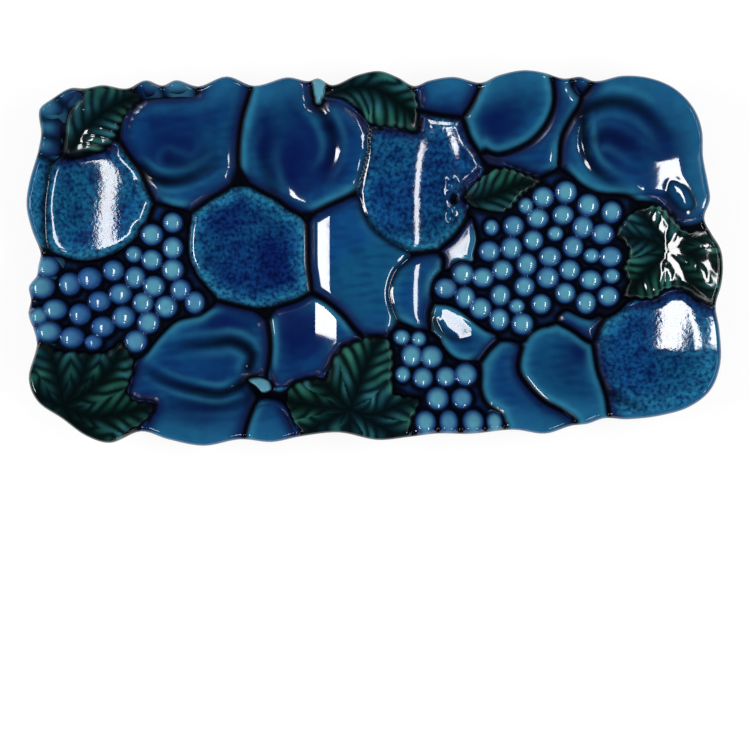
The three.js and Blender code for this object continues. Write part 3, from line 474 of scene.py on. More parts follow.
def waves(x, y, size, seed):
    """Soft noise from -1 to 1 with features of about this size."""
    chance = np.random.default_rng(seed)
    turns, phases = (chance.uniform(0, math.tau, WAVE_COUNT) for _ in range(2))
    total = np.zeros(x.shape)
    for turn, phase, stretch in zip(turns, phases, chance.uniform(*WAVE_STRETCH, WAVE_COUNT)):
        total += np.sin((x * math.cos(turn) + y * math.sin(turn)) * math.tau * stretch / (2 * size) + phase)
    return np.tanh(total / WAVE_SPREAD)


def smooth(value, start, end):
    """Soft step from 0 to 1 between two values."""
    share = np.clip((value - start) / (end - start), 0, 1)
    return share * share * (3 - 2 * share)


def bell(value, width):
    """1 at zero, fading out over about this width on both sides."""
    return np.exp(-((value / width) ** 2))


def beside(border, width):
    """1 at a border and outside it, fading out inwards."""
    return bell(np.maximum(border, 0), width)


def rounded(edge, width):
    """Rise from 0 at an edge to 1 this far in from it, steep at first."""
    return 1 - (1 - np.clip(edge / width, 0, 1)) ** ROUNDNESS


def saddle(x):
    """Height of the saddle over the wells."""
    return (SADDLE_HEIGHT - FLOOR_HEIGHT) * np.exp(-((np.abs(x) / SADDLE_SPREAD) ** SADDLE_CURVE))


def dish_top(x, y):
    """Height of the dish's own face, under the forms."""
    base = FLOOR_HEIGHT + saddle(x)
    corner_x = np.abs(x) - LENGTH / 2 + RIM_WAVE + CORNER_RADIUS
    corner_y = np.abs(y) - WIDTH / 2 + RIM_WAVE + CORNER_RADIUS
    outside = np.hypot(np.maximum(corner_x, 0), np.maximum(corner_y, 0))
    inset = CORNER_RADIUS - outside - np.minimum(np.maximum(corner_x, corner_y), 0)
    across, along = x / LENGTH, y / WIDTH
    cornerness = (2 * across * along / np.maximum(across ** 2 + along ** 2, 1e-9)) ** 2
    climb = np.maximum(1 - inset / WALL_RUN, 0) ** WALL_CURVE
    return base + (RIM_HEIGHT + CORNER_LIFT * cornerness - base) * climb


def srgb(code):
    """Linear colour of a hexadecimal code."""
    parts = np.array([int(code[i:i + 2], 16) for i in (0, 2, 4)]) / 255
    return np.where(parts <= 0.04045, parts / 12.92, ((parts + 0.055) / 1.055) ** 2.4)


def mix(colour, other, share):
    """Mix towards another colour."""
    return colour + (other - colour) * np.clip(share, 0, 1)[..., None]


def darken(colour, other, share):
    """Mix towards a darker colour in steps that look even to the eye."""
    return mix(colour, other, 1 - (1 - np.clip(share, 0, 1)) ** EYE_GAMMA)


# Glaze: pale where it runs thin over edges, deep where it pools, nearly black in the grooves.
CREST, THIN, BLUE, TEAL, DEEP = map(srgb, ("2f7f9c", "1e5f83", "0b3f6f", "0e4a66", "051546"))
# The underside colour is its glaze, darkened with painted shade.
BLACK, GAP, GROUND, UNDER_GLAZE_AND_SHADE, STEM = map(srgb, ("02030a", "03050f", "0a2450", "0a2c44", "50869a"))
# The grapes' side colour is deeper glaze, darkened further with painted shade.
GRAPE_TOP, GRAPE_SIDE_POOL_AND_SHADE, GRAPE_VIOLET = map(srgb, ("4b869b", "102f66", "234a8a"))
LEAF, LEAF_TEAL, LEAF_DARK = map(srgb, ("041c17", "06232c", "02090b"))
LEAF_PALE, LEAF_PALE_TEAL = map(srgb, ("2b6659", "2c6474"))
CLAY_DARK, CLAY_PALE = map(srgb, ("b9a98e", "dccfb8"))

NAMES = [name for name, _, _ in PILE]
NUMBER = {name: number for number, name in enumerate(NAMES)}
SLOTS = np.array([slot for _, slot, _ in PILE])
IS_ON_TOP = np.isin(SLOTS, ("leaf", "stem"))
IS_BUNCH = SLOTS == "grape"
IS_STEM = np.isin(NAMES, STEMS)
IS_BULB = np.isin(NAMES, BULBS)
IS_LOW = (SLOTS == "orange") | np.isin(NAMES, LOW_FRUIT)
HAS_LOBES = np.isin(NAMES, list(BERRIES)) & ~IS_BUNCH
DEPTH = np.array([DEPTHS.get(name, USUAL_DEPTH) for name in NAMES])
SHOULDER = np.array([SHOULDERS.get(name, USUAL_SHOULDER) for name in NAMES])
SPREAD = np.select([IS_ON_TOP, IS_BUNCH], [LEAF_GROWTH, GRAPE_GROWTH], FRUIT_GROWTH)
LIP_TONE = np.select([SLOTS == "orange", HAS_LOBES], [ORANGE_LIP, LOBED_LIP], USUAL_LIP)
JOINED = np.zeros((len(PILE),) * 2, bool)
for one, other in SOFT_JOINTS:
    JOINED[NUMBER[one], NUMBER[other]] = JOINED[NUMBER[other], NUMBER[one]] = True


def domes_of(name):
    """Middle and half sizes of each grape of a bunch; no two are quite alike."""
    domes = []
    for grapes, size in ((GRAPES, GRAPE_RADIUS), (SMALL_GRAPES, SMALL_GRAPE_RADIUS)):
        for x, y in drawn(grapes[name]):
            stretch = math.sin(3 * x + y), math.cos(2 * x - 3 * y)
            domes.append([x, y, *(size * (1 + GRAPE_VARIETY * share) for share in stretch)])
    return domes + (drawn(BERRIES[name]) if name in BERRIES else [])


def dome_shares(x, y, name):
    """Share of the way from the middle of the nearest dome to its edge, and distance to that edge."""
    share = np.full(x.shape, FAR)
    distance = np.full(x.shape, float(REACH))
    for cx, cy, rx, ry in domes_of(name):
        cx, cy = place([cx, cy])
        felt = (np.abs(x - cx) < REACH) & (np.abs(y - cy) < REACH)
        here = np.hypot((x[felt] - cx) / rx, (y[felt] - cy) / ry)
        share[felt] = np.minimum(share[felt], here)
        distance[felt] = np.minimum(distance[felt], (here - 1) * min(rx, ry))
    return share, distance


def leaf_waves(x, y, name):
    """Side veins, from 0 on a ridge to 1 in a vein, and distance to the main veins of a leaf."""
    spacing, veins = VEINS[name]
    nearest = np.full(x.shape, np.inf)
    phase = np.zeros(x.shape)
    for vein in veins:
        off, travel, _ = along_line(x, y, place(smooth_line(vein)))
        stagger = np.where(off > 0, 0.5, 0)
        off = np.abs(off)
        phase = np.where(off < nearest, (travel - VEIN_SLANT * off) / spacing + stagger, phase)
        nearest = np.minimum(nearest, off)
    phase += WOBBLE * waves(x, y, *VEIN_WOBBLE)
    return 0.5 + 0.5 * np.cos(math.tau * phase), nearest


def pile_up(x, y):
    """Distance outside each piece, the veins of the leaves, and the grapes of the bunches."""
    away = np.zeros((len(PILE),) + x.shape)
    above, leaf_above = (np.full(x.shape, np.inf) for _ in range(2))
    stripes, from_rib = np.zeros(x.shape), np.full(x.shape, float(REACH))
    domes = {number: dome_shares(x, y, NAMES[number]) for number in np.flatnonzero(IS_BUNCH)}
    dome_above = np.min([off for _, off in domes.values()], axis=0)
    for number, (name, _, text) in enumerate(PILE):
        outline = place(curve_points(drawn(text)))
        felt = near(x, y, outline)
        distance = np.full(x.shape, float(REACH))
        distance[felt] = signed_distance(x[felt], y[felt], outline)
        own = -distance
        if name in VEINS:
            wave, off = leaf_waves(x[felt], y[felt], name)
            own[felt] -= LEAF_TEETH * wave
            here = own[felt] > -LEAF_REACH
            stripes[felt] = np.where(here, wave, stripes[felt])
            from_rib[felt] = np.where(here, off, from_rib[felt])
        if IS_ON_TOP[number]:
            inside = np.minimum(own, leaf_above)
            if not IS_BULB[number]:
                leaf_above = np.minimum(leaf_above, -own)
        else:
            inside = np.minimum(own, np.minimum(leaf_above, above))
            if IS_BUNCH[number]:
                inside = np.maximum(inside, np.minimum(-domes[number][1], leaf_above))
            else:
                inside = np.minimum(inside, dome_above)
            above = np.minimum(above, distance)
        away[number] = -inside
    spare = smooth(away[~IS_ON_TOP].min(axis=0), 0, SPARE_WIDTH)
    away[IS_ON_TOP] *= np.where(away[IS_ON_TOP] > 0, 1 + SPARE_PULL * spare, 1)
    return away, stripes, from_rib, domes


def borders(x, y, away, piece_at):
    """Distance in from the groove round each piece, from a soft joint, and from pieces over and under it."""
    first = away.min(axis=0)
    rest = away.copy()
    np.put_along_axis(rest, piece_at[None], np.inf, axis=0)
    soft = np.moveaxis(JOINED[piece_at], -1, 0)
    earlier = np.arange(len(PILE))[:, None, None] < piece_at
    seam = (np.where(soft, rest, np.inf).min(axis=0) - first) / 2
    over = (np.where(earlier & ~soft, rest, np.inf).min(axis=0) - first) / 2
    under = (np.where(earlier | soft, np.inf, rest).min(axis=0) - first) / 2
    edge = np.minimum(np.minimum(over, under), SPREAD[piece_at] - first)
    for number in np.flatnonzero(HAS_LOBES):
        here = piece_at == number
        middles = place([berry[:2] for berry in drawn(BERRIES[NAMES[number]])])
        off = np.sort([np.hypot(x[here] - mx, y[here] - my) for mx, my in middles], axis=0)
        seam[here] = np.minimum(seam[here], (off[1] - off[0]) / 2)
    return edge, seam, over, under


def creased(x, y, piece_at):
    """Depth of the creases in the fruit, how dark they are, and how pale the crests beside them."""
    cut, dark, crest = (np.zeros(x.shape) for _ in range(3))
    for name, lines in CREASES.items():
        here = piece_at == NUMBER[name]
        for line, depth, width in lines:
            off, travel, length = along_line(x[here], y[here], place(smooth_line(line)))
            fade = 1 - (travel / length) ** 2
            strength = fade * min(depth / DEEP_CREASE, 1)
            pale = bell(np.abs(off) - CREST_OFFSET * width, CREST_WIDTH * width)
            cut[here] = np.maximum(cut[here], depth * fade * bell(off, width))
            dark[here] = np.maximum(dark[here], strength * bell(off, width))
            crest[here] = np.maximum(crest[here], strength * pale)
    return cut, dark, crest


def straightened(x, piece_at):
    """Height that turns the curved side of the saddle under some fruit into straight slopes."""
    change = np.zeros(x.shape)
    for name, line in FLANKS.items():
        here = piece_at == NUMBER[name]
        change[here] = np.interp(x[here], *zip(*line)) - saddle(x[here])
    return change


def survey(x, y):
    """What the relief and the glaze depend on at each place: its piece, and distances to what is near."""
    away, stripes, from_rib, domes = pile_up(x, y)
    at = SimpleNamespace(x=x, y=y, stripes=stripes, from_rib=from_rib, vein=stripes ** VEIN_POWER)
    at.bulb = np.flatnonzero(IS_BULB)[away[IS_BULB].argmin(axis=0)]
    at.bud = at.bulb == NUMBER["pear_bud"]
    at.off_bulb = away[IS_BULB].min(axis=0)
    away[IS_BULB] = np.inf
    at.piece = away.argmin(axis=0)
    at.edge, at.seam, at.over, at.under = borders(x, y, away, at.piece)
    at.cut, at.crease, at.crest = creased(x, y, at.piece)
    at.bunch, at.stem, at.lobed = (kind[at.piece] for kind in (IS_BUNCH, IS_STEM, HAS_LOBES))
    at.leaf, at.orange = (SLOTS[at.piece] == slot for slot in ("leaf", "orange"))
    at.dome = np.full(x.shape, FAR)
    for number, (share, _) in domes.items():
        at.dome = np.where(at.piece == number, share, at.dome)
    pit_x, pit_y = place(CALYX_PIT)
    at.pit = np.exp(-(np.hypot((x - pit_x) / PIT_WIDTH, (y - pit_y) / PIT_LENGTH) ** PIT_POWER))
    at.rim = -signed_distance(x, y, rim_outline)
    at.patch = waves(x, y, *PATCHES)
    return at


def relief(at):
    """Height of the forms over the dish."""
    x, y, edge = at.x, at.y, at.edge
    shoulder = SHOULDER[at.piece]
    crown = np.select([IS_LOW[at.piece], shoulder < FLAT_SHOULDER], [LOW_CROWN, FLAT_CROWN], USUAL_CROWN)
    sepals = np.where(at.bud, BUD_HEIGHT, CALYX_HEIGHT + SEPAL_HEIGHT * waves(x, y, *SEPALS))
    moat = np.where(at.bud, BUD_MOAT, CALYX_MOAT) * bell(at.off_bulb, MOAT_WIDTH)
    bulb = sepals * smooth(-at.off_bulb, 0, 4) - moat
    dip = np.where(at.lobed, LOBE_DIP, JOINT_DIP) * bell(at.seam, np.where(at.lobed, LOBE_WIDTH, JOINT_WIDTH))
    fruit = FRUIT_HEIGHT * rounded(edge, shoulder) + crown * rounded(edge, CROWN_WIDTH) + bulb - dip
    fruit -= at.cut * rounded(edge, 3) + PIT_DEPTH * at.pit
    fruit += straightened(x, at.piece) * smooth(np.minimum(edge, at.seam), 0, 4)
    stem = STEM_HEIGHT * rounded(edge, STEM_EDGE)
    quilt = QUILT_HEIGHT * waves(x, y, *QUILT) * smooth(edge, 0, 3)
    valley = (VALLEY_HEIGHT - VEIN_DEPTH * at.vein) * smooth(at.from_rib, 0.3, 5) * smooth(edge, 0, 1.5)
    leaf = LEAF_HEIGHT * rounded(edge, LEAF_EDGE) + valley + quilt
    sunk = np.interp(x, *zip(*LEAF_HOLLOW)) * smooth(edge, 0, 4)
    leaf -= np.where(at.piece == NUMBER["leaf_right"], sunk, 0)
    ground = (GROUND_DEPTH + GROUND_WAVE * waves(x, y, *GROUND_LUMPS)) * smooth(at.dome, 1, 1.3)
    ball = np.sqrt(np.maximum(1 - at.dome ** DOME_POWER, 0))
    grape = GRAPE_HEIGHT * ball * rounded(edge, GRAPE_EDGE) - ground
    fade_low, fade_rise = RIM_FADE
    fade = np.where(at.lobed, LOBE_FADE, fade_low + fade_rise * smooth(at.rim, 0, RIM_FADE_WIDTH))
    return np.select([at.bunch, at.leaf, at.stem], [grape, leaf * fade, stem * fade], fruit * fade)


def fruit_glaze(at, plain):
    """Blue glaze of the fruit with painted shade beside pieces over it and towards its grooves, in the order in
    which its tones lie over each other.
    """
    x, y, edge = at.x, at.y, at.edge
    cloud = waves(x, y, *CLOUDS)
    bands = np.sin(0.8 * edge + 3 * cloud + 2 * at.patch)
    spots = np.zeros(x.shape)
    for spot_x, spot_y, half_width, half_length in SPOTS:
        spot_x, spot_y = place([spot_x, spot_y])
        spots = np.maximum(spots, bell(np.hypot((x - spot_x) / half_width, (y - spot_y) / half_length), 1))
    ring = bell(edge - RING_PLACE, np.where(at.orange, ORANGE_RING, FRUIT_RING))
    middle = smooth(edge, 3, 11) * DEPTH[at.piece]
    streaks = STREAK_SHARE * smooth(waves(STREAK_SQUASH * x, y, *STREAKS), -0.2, 1)
    mottles = MOTTLE_SHARE * smooth(waves(x, y, *MOTTLES), 0, 0.9)
    lip = bell(at.under - LIP_PLACE, LIP_WIDTH) * smooth(at.over, 2, 6)
    bulb_line = np.where(at.bud, BUD_LINE, CALYX_LINE) * bell(at.off_bulb, LINE_WIDTH)
    glaze = plain + BLUE
    for lay_on, tone, share in (
        (mix, TEAL, TEAL_SHARE * smooth(at.patch, -0.4, 0.8)),
        (mix, THIN, ring * (0.55 + 0.35 * cloud)),
        (mix, DEEP, middle * (0.8 + 0.3 * cloud + 0.08 * bands)),
        (darken, DEEP, SPOT_SHARE * spots),
        (darken, DEEP, np.where(at.orange, mottles, streaks)),
        (mix, THIN, (1 - smooth(at.rim, 2, 16)) * RIM_SHARE),
        (mix, CREST, CREST_SHARE * at.crest * (0.7 + 0.3 * cloud)),
        (mix, GRAPE_TOP, BERRY_SHARE * at.lobed * smooth(at.seam, 0.5, 4)),
        # painted shade beside a piece that lies over this one
        (darken, DEEP, SHADE_SHARE * beside(at.over, SHADE_WIDTH)),
        # deeper glaze and painted shade towards the groove round a piece
        (darken, DEEP, EDGE_POOL_AND_SHADE_SHARE * beside(edge, EDGE_POOL_AND_SHADE_WIDTH)),
        (mix, CREST, LIP_TONE[at.piece] * lip),
        (darken, BLACK, CREASE_SHARE * at.crease),
        (darken, BLACK, SEAM_SHARE * bell(at.seam, SEAM_WIDTH)),
        (darken, BLACK, bulb_line),
        (darken, BLACK, np.maximum(beside(edge, GROOVE_WIDTH), at.pit)),
    ):
        glaze = lay_on(glaze, tone, share)
    return glaze


def grape_glaze(at, plain):
    """Pale tops, sides darker with pooled glaze and painted shade, and dark gaps; the bunch on the left has more
    violet.
    """
    on_left = LEFT_VIOLET * bell(at.x - LEFT_BUNCH, LEFT_BUNCH_WIDTH)
    violet = np.maximum(VIOLET_SHARE * smooth(waves(at.x, at.y, *VIOLETS), 0, 1), on_left)
    tops = mix(plain + GRAPE_TOP, GRAPE_VIOLET, violet)
    # the sides of each grape darken with pooled glaze and painted shade
    glaze = mix(tops, GRAPE_SIDE_POOL_AND_SHADE, smooth(at.dome, 0.35, 0.95))
    glaze = darken(glaze, GAP, smooth(at.dome, 0.87, 1.06))
    return mix(glaze, GROUND, smooth(at.dome, 1.2, 1.8) * smooth(at.edge, 0.5, 3))


def leaf_glaze(at, plain):
    """Dark green with pale ridges between the veins."""
    green = mix(plain + LEAF, LEAF_TEAL, smooth(at.patch, -0.6, 0.6))
    teal = PALE_TEAL_SHARE * smooth(waves(at.x, at.y, *LEAF_PATCHES), -0.4, 0.6)
    pale_green = mix(plain + LEAF_PALE, LEAF_PALE_TEAL, teal)
    ridges = (1 - at.stripes) * smooth(at.from_rib, 0.5, 8)
    glaze = mix(green, pale_green, ridges * (0.65 + 0.35 * waves(at.x, at.y, *LEAF_CLOUDS)))
    rib = np.maximum(RIB_SHARE * bell(at.from_rib, RIB_WIDTH), RIB_SHADE * bell(at.from_rib, RIB_SHADE_WIDTH))
    glaze = darken(darken(glaze, LEAF_DARK, VEIN_SHARE * at.vein), LEAF_DARK, rib)
    return darken(glaze, BLACK, beside(at.edge, LEAF_GROOVE))


def moulded(x, y):
    """Height over the dish, glaze colour with its painted shade, piece number, and dullness of the glaze with its
    reflections dimmed as painted shade, at each place.
    """
    at = survey(x, y)
    plain = np.zeros(x.shape + (3,))
    stem_glaze = darken(plain + STEM, BLACK, beside(at.edge, STEM_GROOVE))
    colour = np.select([kind[..., None] for kind in (at.bunch, at.leaf, at.stem)],
                       [grape_glaze(at, plain), leaf_glaze(at, plain), stem_glaze], fruit_glaze(at, plain))
    # rougher glaze with reflections dimmed as painted shade, in grooves, between grapes and under pieces lying
    # over this one
    width = np.where(at.leaf, LEAF_DULL_WIDTH, DULL_WIDTH)
    groove = np.maximum(beside(at.edge, width), beside(at.over, DULL_SHADE_WIDTH))
    dull_and_shaded = np.where(at.bunch, smooth(at.dome, 0.92, 1.06), np.maximum(groove, at.pit))
    return relief(at), colour, np.where(at.off_bulb < 0, at.bulb, at.piece), dull_and_shaded


# Spokes of the surface: they run from a line along the middle of the dish out to the rim.
HUB = (LENGTH - WIDTH) / 2
hub_x, angles, cores = [], [], []
for side in (1, -1):
    for column in range(COLUMNS):
        hub_x.append(side * HUB * (1 - 2 * column / COLUMNS))
        angles.append(side * math.pi / 2)
        cores.append(column if side == 1 else COLUMNS - column)
    for spoke in range(END_SPOKES):
        hub_x.append(-side * HUB)
        angles.append(side * math.pi / 2 + math.pi * spoke / END_SPOKES)
        cores.append(COLUMNS if side == 1 else 0)
hub_x, angles, cores = np.array(hub_x), np.array(angles), np.array(cores)
way_x, way_y = np.cos(angles), np.sin(angles)
SPOKES = len(angles)


def reach_to(outline):
    """How far each spoke runs before it meets the outline."""
    nearest = np.full(SPOKES, np.inf)
    for (ax, ay), (bx, by) in zip(outline, np.roll(outline, -1, axis=0)):
        ex, ey = bx - ax, by - ay
        slant = way_x * ey - way_y * ex
        slant = np.where(np.abs(slant) < TINY, TINY, slant)
        share = ((ax - hub_x) * way_y - ay * way_x) / slant
        distance = ((ax - hub_x) * ey - ay * ex) / slant
        nearest = np.where((share >= 0) & (share <= 1) & (distance > 0), np.minimum(nearest, distance), nearest)
    return nearest


reach = reach_to(rim_outline)


def plan(shares):
    """Places at these shares of the way along every spoke, as spokes by shares."""
    distance = (reach - LIP)[:, None] * shares[None, :]
    return hub_x[:, None] + way_x[:, None] * distance, way_y[:, None] * distance


def cells_between(number):
    """Corners of each cell between neighbouring spokes, from the vertex numbers along them."""
    following = np.roll(number, -1, axis=0)
    return np.stack([number[:, :-1], number[:, 1:], following[:, 1:], following[:, :-1]], axis=-1)


def flat(values, number):
    """Grid values in vertex order, each vertex once."""
    out = np.zeros((number.max() + 1,) + values.shape[2:])
    out[number.reshape(-1)] = values.reshape((-1,) + values.shape[2:])
    return out


def triangles(cells):
    """Two triangles for each cell, or one where it comes to a point."""
    a, b, c, d = (cells[..., i].reshape(-1) for i in range(4))
    return np.concatenate([np.stack([a, b, c], axis=1), np.stack([a, c, d], axis=1)[a != d]])


def facings(points, faces):
    """Direction of each triangle, as long as twice its area."""
    a, b, c = (points[faces[:, i]] for i in range(3))
    return np.cross(b - a, c - a)


def vertex_normals(points, faces):
    """Mean direction of the triangles round each vertex."""
    facing = facings(points, faces)
    total = np.zeros_like(points)
    for corner in range(3):
        np.add.at(total, faces[:, corner], facing)
    return total / np.maximum(np.linalg.norm(total, axis=1), TINY)[:, None]


def add_piece(name, points, faces, normals, colours, material, dull_and_shaded=None):
    """A mesh in metres with its own normals, glaze colours, and dullness with painted shade on its reflections."""
    mesh = bpy.data.meshes.new(name)
    mesh.vertices.add(len(points))
    mesh.vertices.foreach_set("co", (points / 1000).astype(np.float32).reshape(-1))
    mesh.loops.add(len(faces) * 3)
    mesh.loops.foreach_set("vertex_index", faces.astype(np.int32).reshape(-1))
    mesh.polygons.add(len(faces))
    mesh.polygons.foreach_set("loop_start", np.arange(0, len(faces) * 3, 3, dtype=np.int32))
    mesh.update(calc_edges=True)
    mesh.polygons.foreach_set("use_smooth", np.ones(len(faces), bool))
    tint = mesh.attributes.new("glaze", "FLOAT_COLOR", "POINT")
    shades = np.concatenate([colours, np.ones((len(points), 1))], axis=1)
    tint.data.foreach_set("color", shades.astype(np.float32).reshape(-1))
    if dull_and_shaded is not None:
        mesh.attributes.new("dull_and_shaded", "FLOAT", "POINT").data.foreach_set("value", dull_and_shaded.astype(np.float32))
    if normals is not None:
        mesh.normals_split_custom_set_from_vertices(normals.tolist())
    mesh.materials.append(material)
    piece = bpy.data.objects.new(name + "_look", mesh)
    bpy.context.scene.collection.objects.link(piece)
    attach(piece, "root")
    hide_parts(name)
    return piece


def set_inputs(tree, node, inputs):
    """Sets the inputs of a shader node; those given as a socket are linked to it."""
    for key, value in inputs.items():
        if isinstance(value, bpy.types.NodeSocket):
            tree.links.new(value, node.inputs[key])
        else:
            node.inputs[key].default_value = value


def add_node(tree, kind, inputs=None):
    """A new shader node."""
    node = tree.nodes.new("ShaderNode" + kind)
    set_inputs(tree, node, inputs or {})
    return node


def add_painted(tree, name):
    """What is painted on the vertices under this name."""
    painted = add_node(tree, "Attribute")
    painted.attribute_name = name
    return painted.outputs


def add_ramp(tree, factor, *stops):
    """Colour that runs from the first stop to the second."""
    ramp = add_node(tree, "ValToRGB", {"Fac": factor})
    for element, (position, colour) in zip(ramp.color_ramp.elements, stops):
        element.position = position
        element.color = (*colour, 1)
    return ramp.outputs["Color"]


def add_switch(tree, factor, off, on):
    """Shader that goes from one to another as the factor goes from 0 to 1."""
    return add_node(tree, "MixShader", {"Fac": factor, 1: off, 2: on}).outputs["Shader"]


def new_material(name):
    """A plain material, its node tree and its shader."""
    material = bpy.data.materials.new(name)
    material.use_nodes = True
    return material, material.node_tree, material.node_tree.nodes["Principled BSDF"]


def add_grain(tree, inputs):
    """Noise that stays with the object."""
    spot = add_node(tree, "TexCoord").outputs["Object"]
    return add_node(tree, "TexNoise", {"Vector": spot, **inputs}).outputs["Fac"]


# Gloss of the glaze, and of its grooves, where it is rougher and its reflections are dimmed as painted shade
GLOSSY = {"Roughness": 0.07, "Specular IOR Level": 0.5}
DULL_AND_SHADED = {"Roughness": 0.6, "Specular IOR Level": 0.02}
GLAZE_IOR = 1.5
BUMP_HEIGHT = 0.0004
SPECK_STOPS = (0.35, 0.65)
SPECK_DETAIL = 3


def glaze_material(name, speck_size, speck_depth, bump):
    """Glaze over the painted colours: fine specks, a slightly uneven skin, glossy but for the grooves, which are
    rougher and have their reflections dimmed as painted shade.
    """
    material, tree, shader = new_material(name)
    dull_and_shade_share = add_painted(tree, "dull_and_shaded")["Fac"]
    gloss = {}
    for key in GLOSSY:
        level = add_node(tree, "MapRange", {"Value": dull_and_shade_share, "To Min": GLOSSY[key], "To Max": DULL_AND_SHADED[key]})
        gloss[key] = level.outputs["Result"]
    specks = add_grain(tree, {"Scale": 1000 / speck_size, "Detail": SPECK_DETAIL})
    low = 1 - speck_depth
    dark = (low, low, low + 0.3 * speck_depth)
    pale = (1 + 0.8 * speck_depth, 1 + 1.2 * speck_depth, 1 + 0.8 * speck_depth)
    tint = add_ramp(tree, specks, *zip(SPECK_STOPS, (dark, pale)))
    tinted = add_node(tree, "Mix")
    tinted.data_type = "RGBA"
    tinted.blend_type = "MULTIPLY"
    set_inputs(tree, tinted, {"Factor": 1, "A": add_painted(tree, "glaze")["Color"], "B": tint})
    skin = add_node(tree, "Bump", {"Strength": bump, "Distance": BUMP_HEIGHT, "Height": specks})
    set_inputs(tree, shader, {
        "Base Color": tinted.outputs["Result"], "Normal": skin.outputs["Normal"], "IOR": GLAZE_IOR, **gloss,
    })
    return material


smooth_glaze = glaze_material("glaze", speck_size=5, speck_depth=0.08, bump=0.06)
pitted_glaze = glaze_material("pitted glaze", speck_size=1.8, speck_depth=0.65, bump=0.12)

# The upper face, cut into the moulded pieces
UNDERSIDE = 1.2  # how far the pieces reach into the dish
grid_x, grid_y = plan(np.linspace(0, 1, ROWS + 1))
outer = len(np.unique(cores)) + np.arange(SPOKES * ROWS).reshape(SPOKES, ROWS)
number = np.concatenate([cores[:, None], outer], axis=1)
cells = cells_between(number)
height, colour, piece_at, dull_and_shaded = moulded(grid_x, grid_y)
top_z = dish_top(grid_x, grid_y) + height
points = flat(np.stack([grid_x, grid_y, top_z], axis=-1), number)
colours = flat(colour, number)
dullness_and_shade = flat(dull_and_shaded, number)
normals = vertex_normals(points, triangles(cells))
for index, (name, slot, _) in enumerate(PILE):
    faces = triangles(cells[piece_at[:, 1:] == index])
    used = np.unique(faces)
    faces = np.searchsorted(used, faces)
    count = len(used)
    under = points[used].copy()
    under[:, 2] = dish_top(under[:, 0], under[:, 1]) - UNDERSIDE
    edges = np.concatenate([faces[:, [0, 1]], faces[:, [1, 2]], faces[:, [2, 0]]]).tolist()
    keys = set(map(tuple, edges))
    start, end = np.array([edge for edge in edges if (edge[1], edge[0]) not in keys]).T
    walls = np.concatenate([
        np.stack([end, start, start + count], axis=1), np.stack([end, start + count, end + count], axis=1),
    ])
    add_piece(
        name,
        np.concatenate([points[used], under]),
        np.concatenate([faces, faces[:, ::-1] + count, walls]),
        np.concatenate([normals[used], np.tile([0, 0, -1.0], (count, 1))]),
        np.tile(colours[used], (2, 1)),
        pitted_glaze if name.startswith("orange") else smooth_glaze,
        np.tile(dullness_and_shade[used], 2),
    )

# The body of the dish: its face under the pieces, rounded lip and underside
SEAT_DEPTH = 1.5
LEAST_AREA = 1e-7
edge_x, edge_y, edge_top = grid_x[:, -1], grid_y[:, -1], top_z[:, -1]
edge_under = dish_top(edge_x, edge_y) - WALL
turns = np.linspace(0, math.pi, LIP_STEPS + 1)
out = LIP * np.sin(turns)
lip_x = edge_x[:, None] + way_x[:, None] * out
lip_y = edge_y[:, None] + way_y[:, None] * out
lip_z = (edge_top + edge_under)[:, None] / 2 + (edge_top - edge_under)[:, None] / 2 * np.cos(turns)
seat_x, seat_y = plan(np.linspace(0, 1, SEAT_ROWS + 1)[:-1])
under_x, under_y = plan(np.linspace(1, 0, UNDER_ROWS + 1)[1:])
body = np.concatenate([
    np.stack(part, axis=-1) for part in (
        (seat_x, seat_y, dish_top(seat_x, seat_y) - SEAT_DEPTH), (lip_x, lip_y, lip_z),
        (under_x, under_y, dish_top(under_x, under_y) - WALL),
    )
], axis=1)
rim_colour = colour[:, -1]
# the lip turns to the underside colour, which carries painted shade
down = smooth(turns, 0.5, 2.6)
lip_colour = rim_colour[:, None, :] + (UNDER_GLAZE_AND_SHADE - rim_colour)[:, None, :] * down[None, :, None]
body_colour = np.concatenate([
    np.broadcast_to(BLACK, seat_x.shape + (3,)), lip_colour, np.broadcast_to(UNDER_GLAZE_AND_SHADE, under_x.shape + (3,)),
], axis=1)
body_points = body.reshape(-1, 3)
body_faces = triangles(cells_between(np.arange(len(body_points)).reshape(SPOKES, -1)))
area = np.linalg.norm(facings(body_points, body_faces), axis=1)
body_faces = body_faces[area > LEAST_AREA]
body_normals = vertex_normals(body_points, body_faces)
body_normals.reshape(body.shape)[:, SEAT_ROWS] = normals[number[:, -1]]
add_piece(
    "dish_shell", body_points, body_faces, body_normals, body_colour.reshape(-1, 3), smooth_glaze,
)

# Foot rings: glazed sides in the underside colour with its painted shade, bare clay where they stand
FOOT_CORNER = 26
FOOT_WIDTH = 5
FOOT_BEVEL = 0.8
FOOT_ARC = 0.25  # inset and height of the middle of the bevel
FOOT_GAP = 0.05
FOOT_STEPS = 24
BARE_HEIGHT = 0.0009
CLAY_GRAIN = 900
CLAY_ROUGHNESS = 0.75
clay, clay_tree, clay_shader = new_material("bare clay")
clay_grain = add_grain(clay_tree, {"Scale": CLAY_GRAIN})
clay_colour = add_ramp(clay_tree, clay_grain, (0, CLAY_DARK), (1, CLAY_PALE))
set_inputs(clay_tree, clay_shader, {"Base Color": clay_colour, "Roughness": CLAY_ROUGHNESS})


def foot_outline(middle, half, inset):
    """Rounded square, this far in from the outside of a foot ring."""
    points = []
    for quarter in range(4):
        centre = math.pi / 4 + quarter * math.pi / 2
        for step in range(FOOT_STEPS + 1):
            angle = centre + (step / FOOT_STEPS - 0.5) * math.pi / 2
            points.append([
                math.copysign(half - FOOT_CORNER, part(centre)) + (FOOT_CORNER - inset) * part(angle)
                for part in (math.cos, math.sin)
            ])
    return np.array(points) + middle


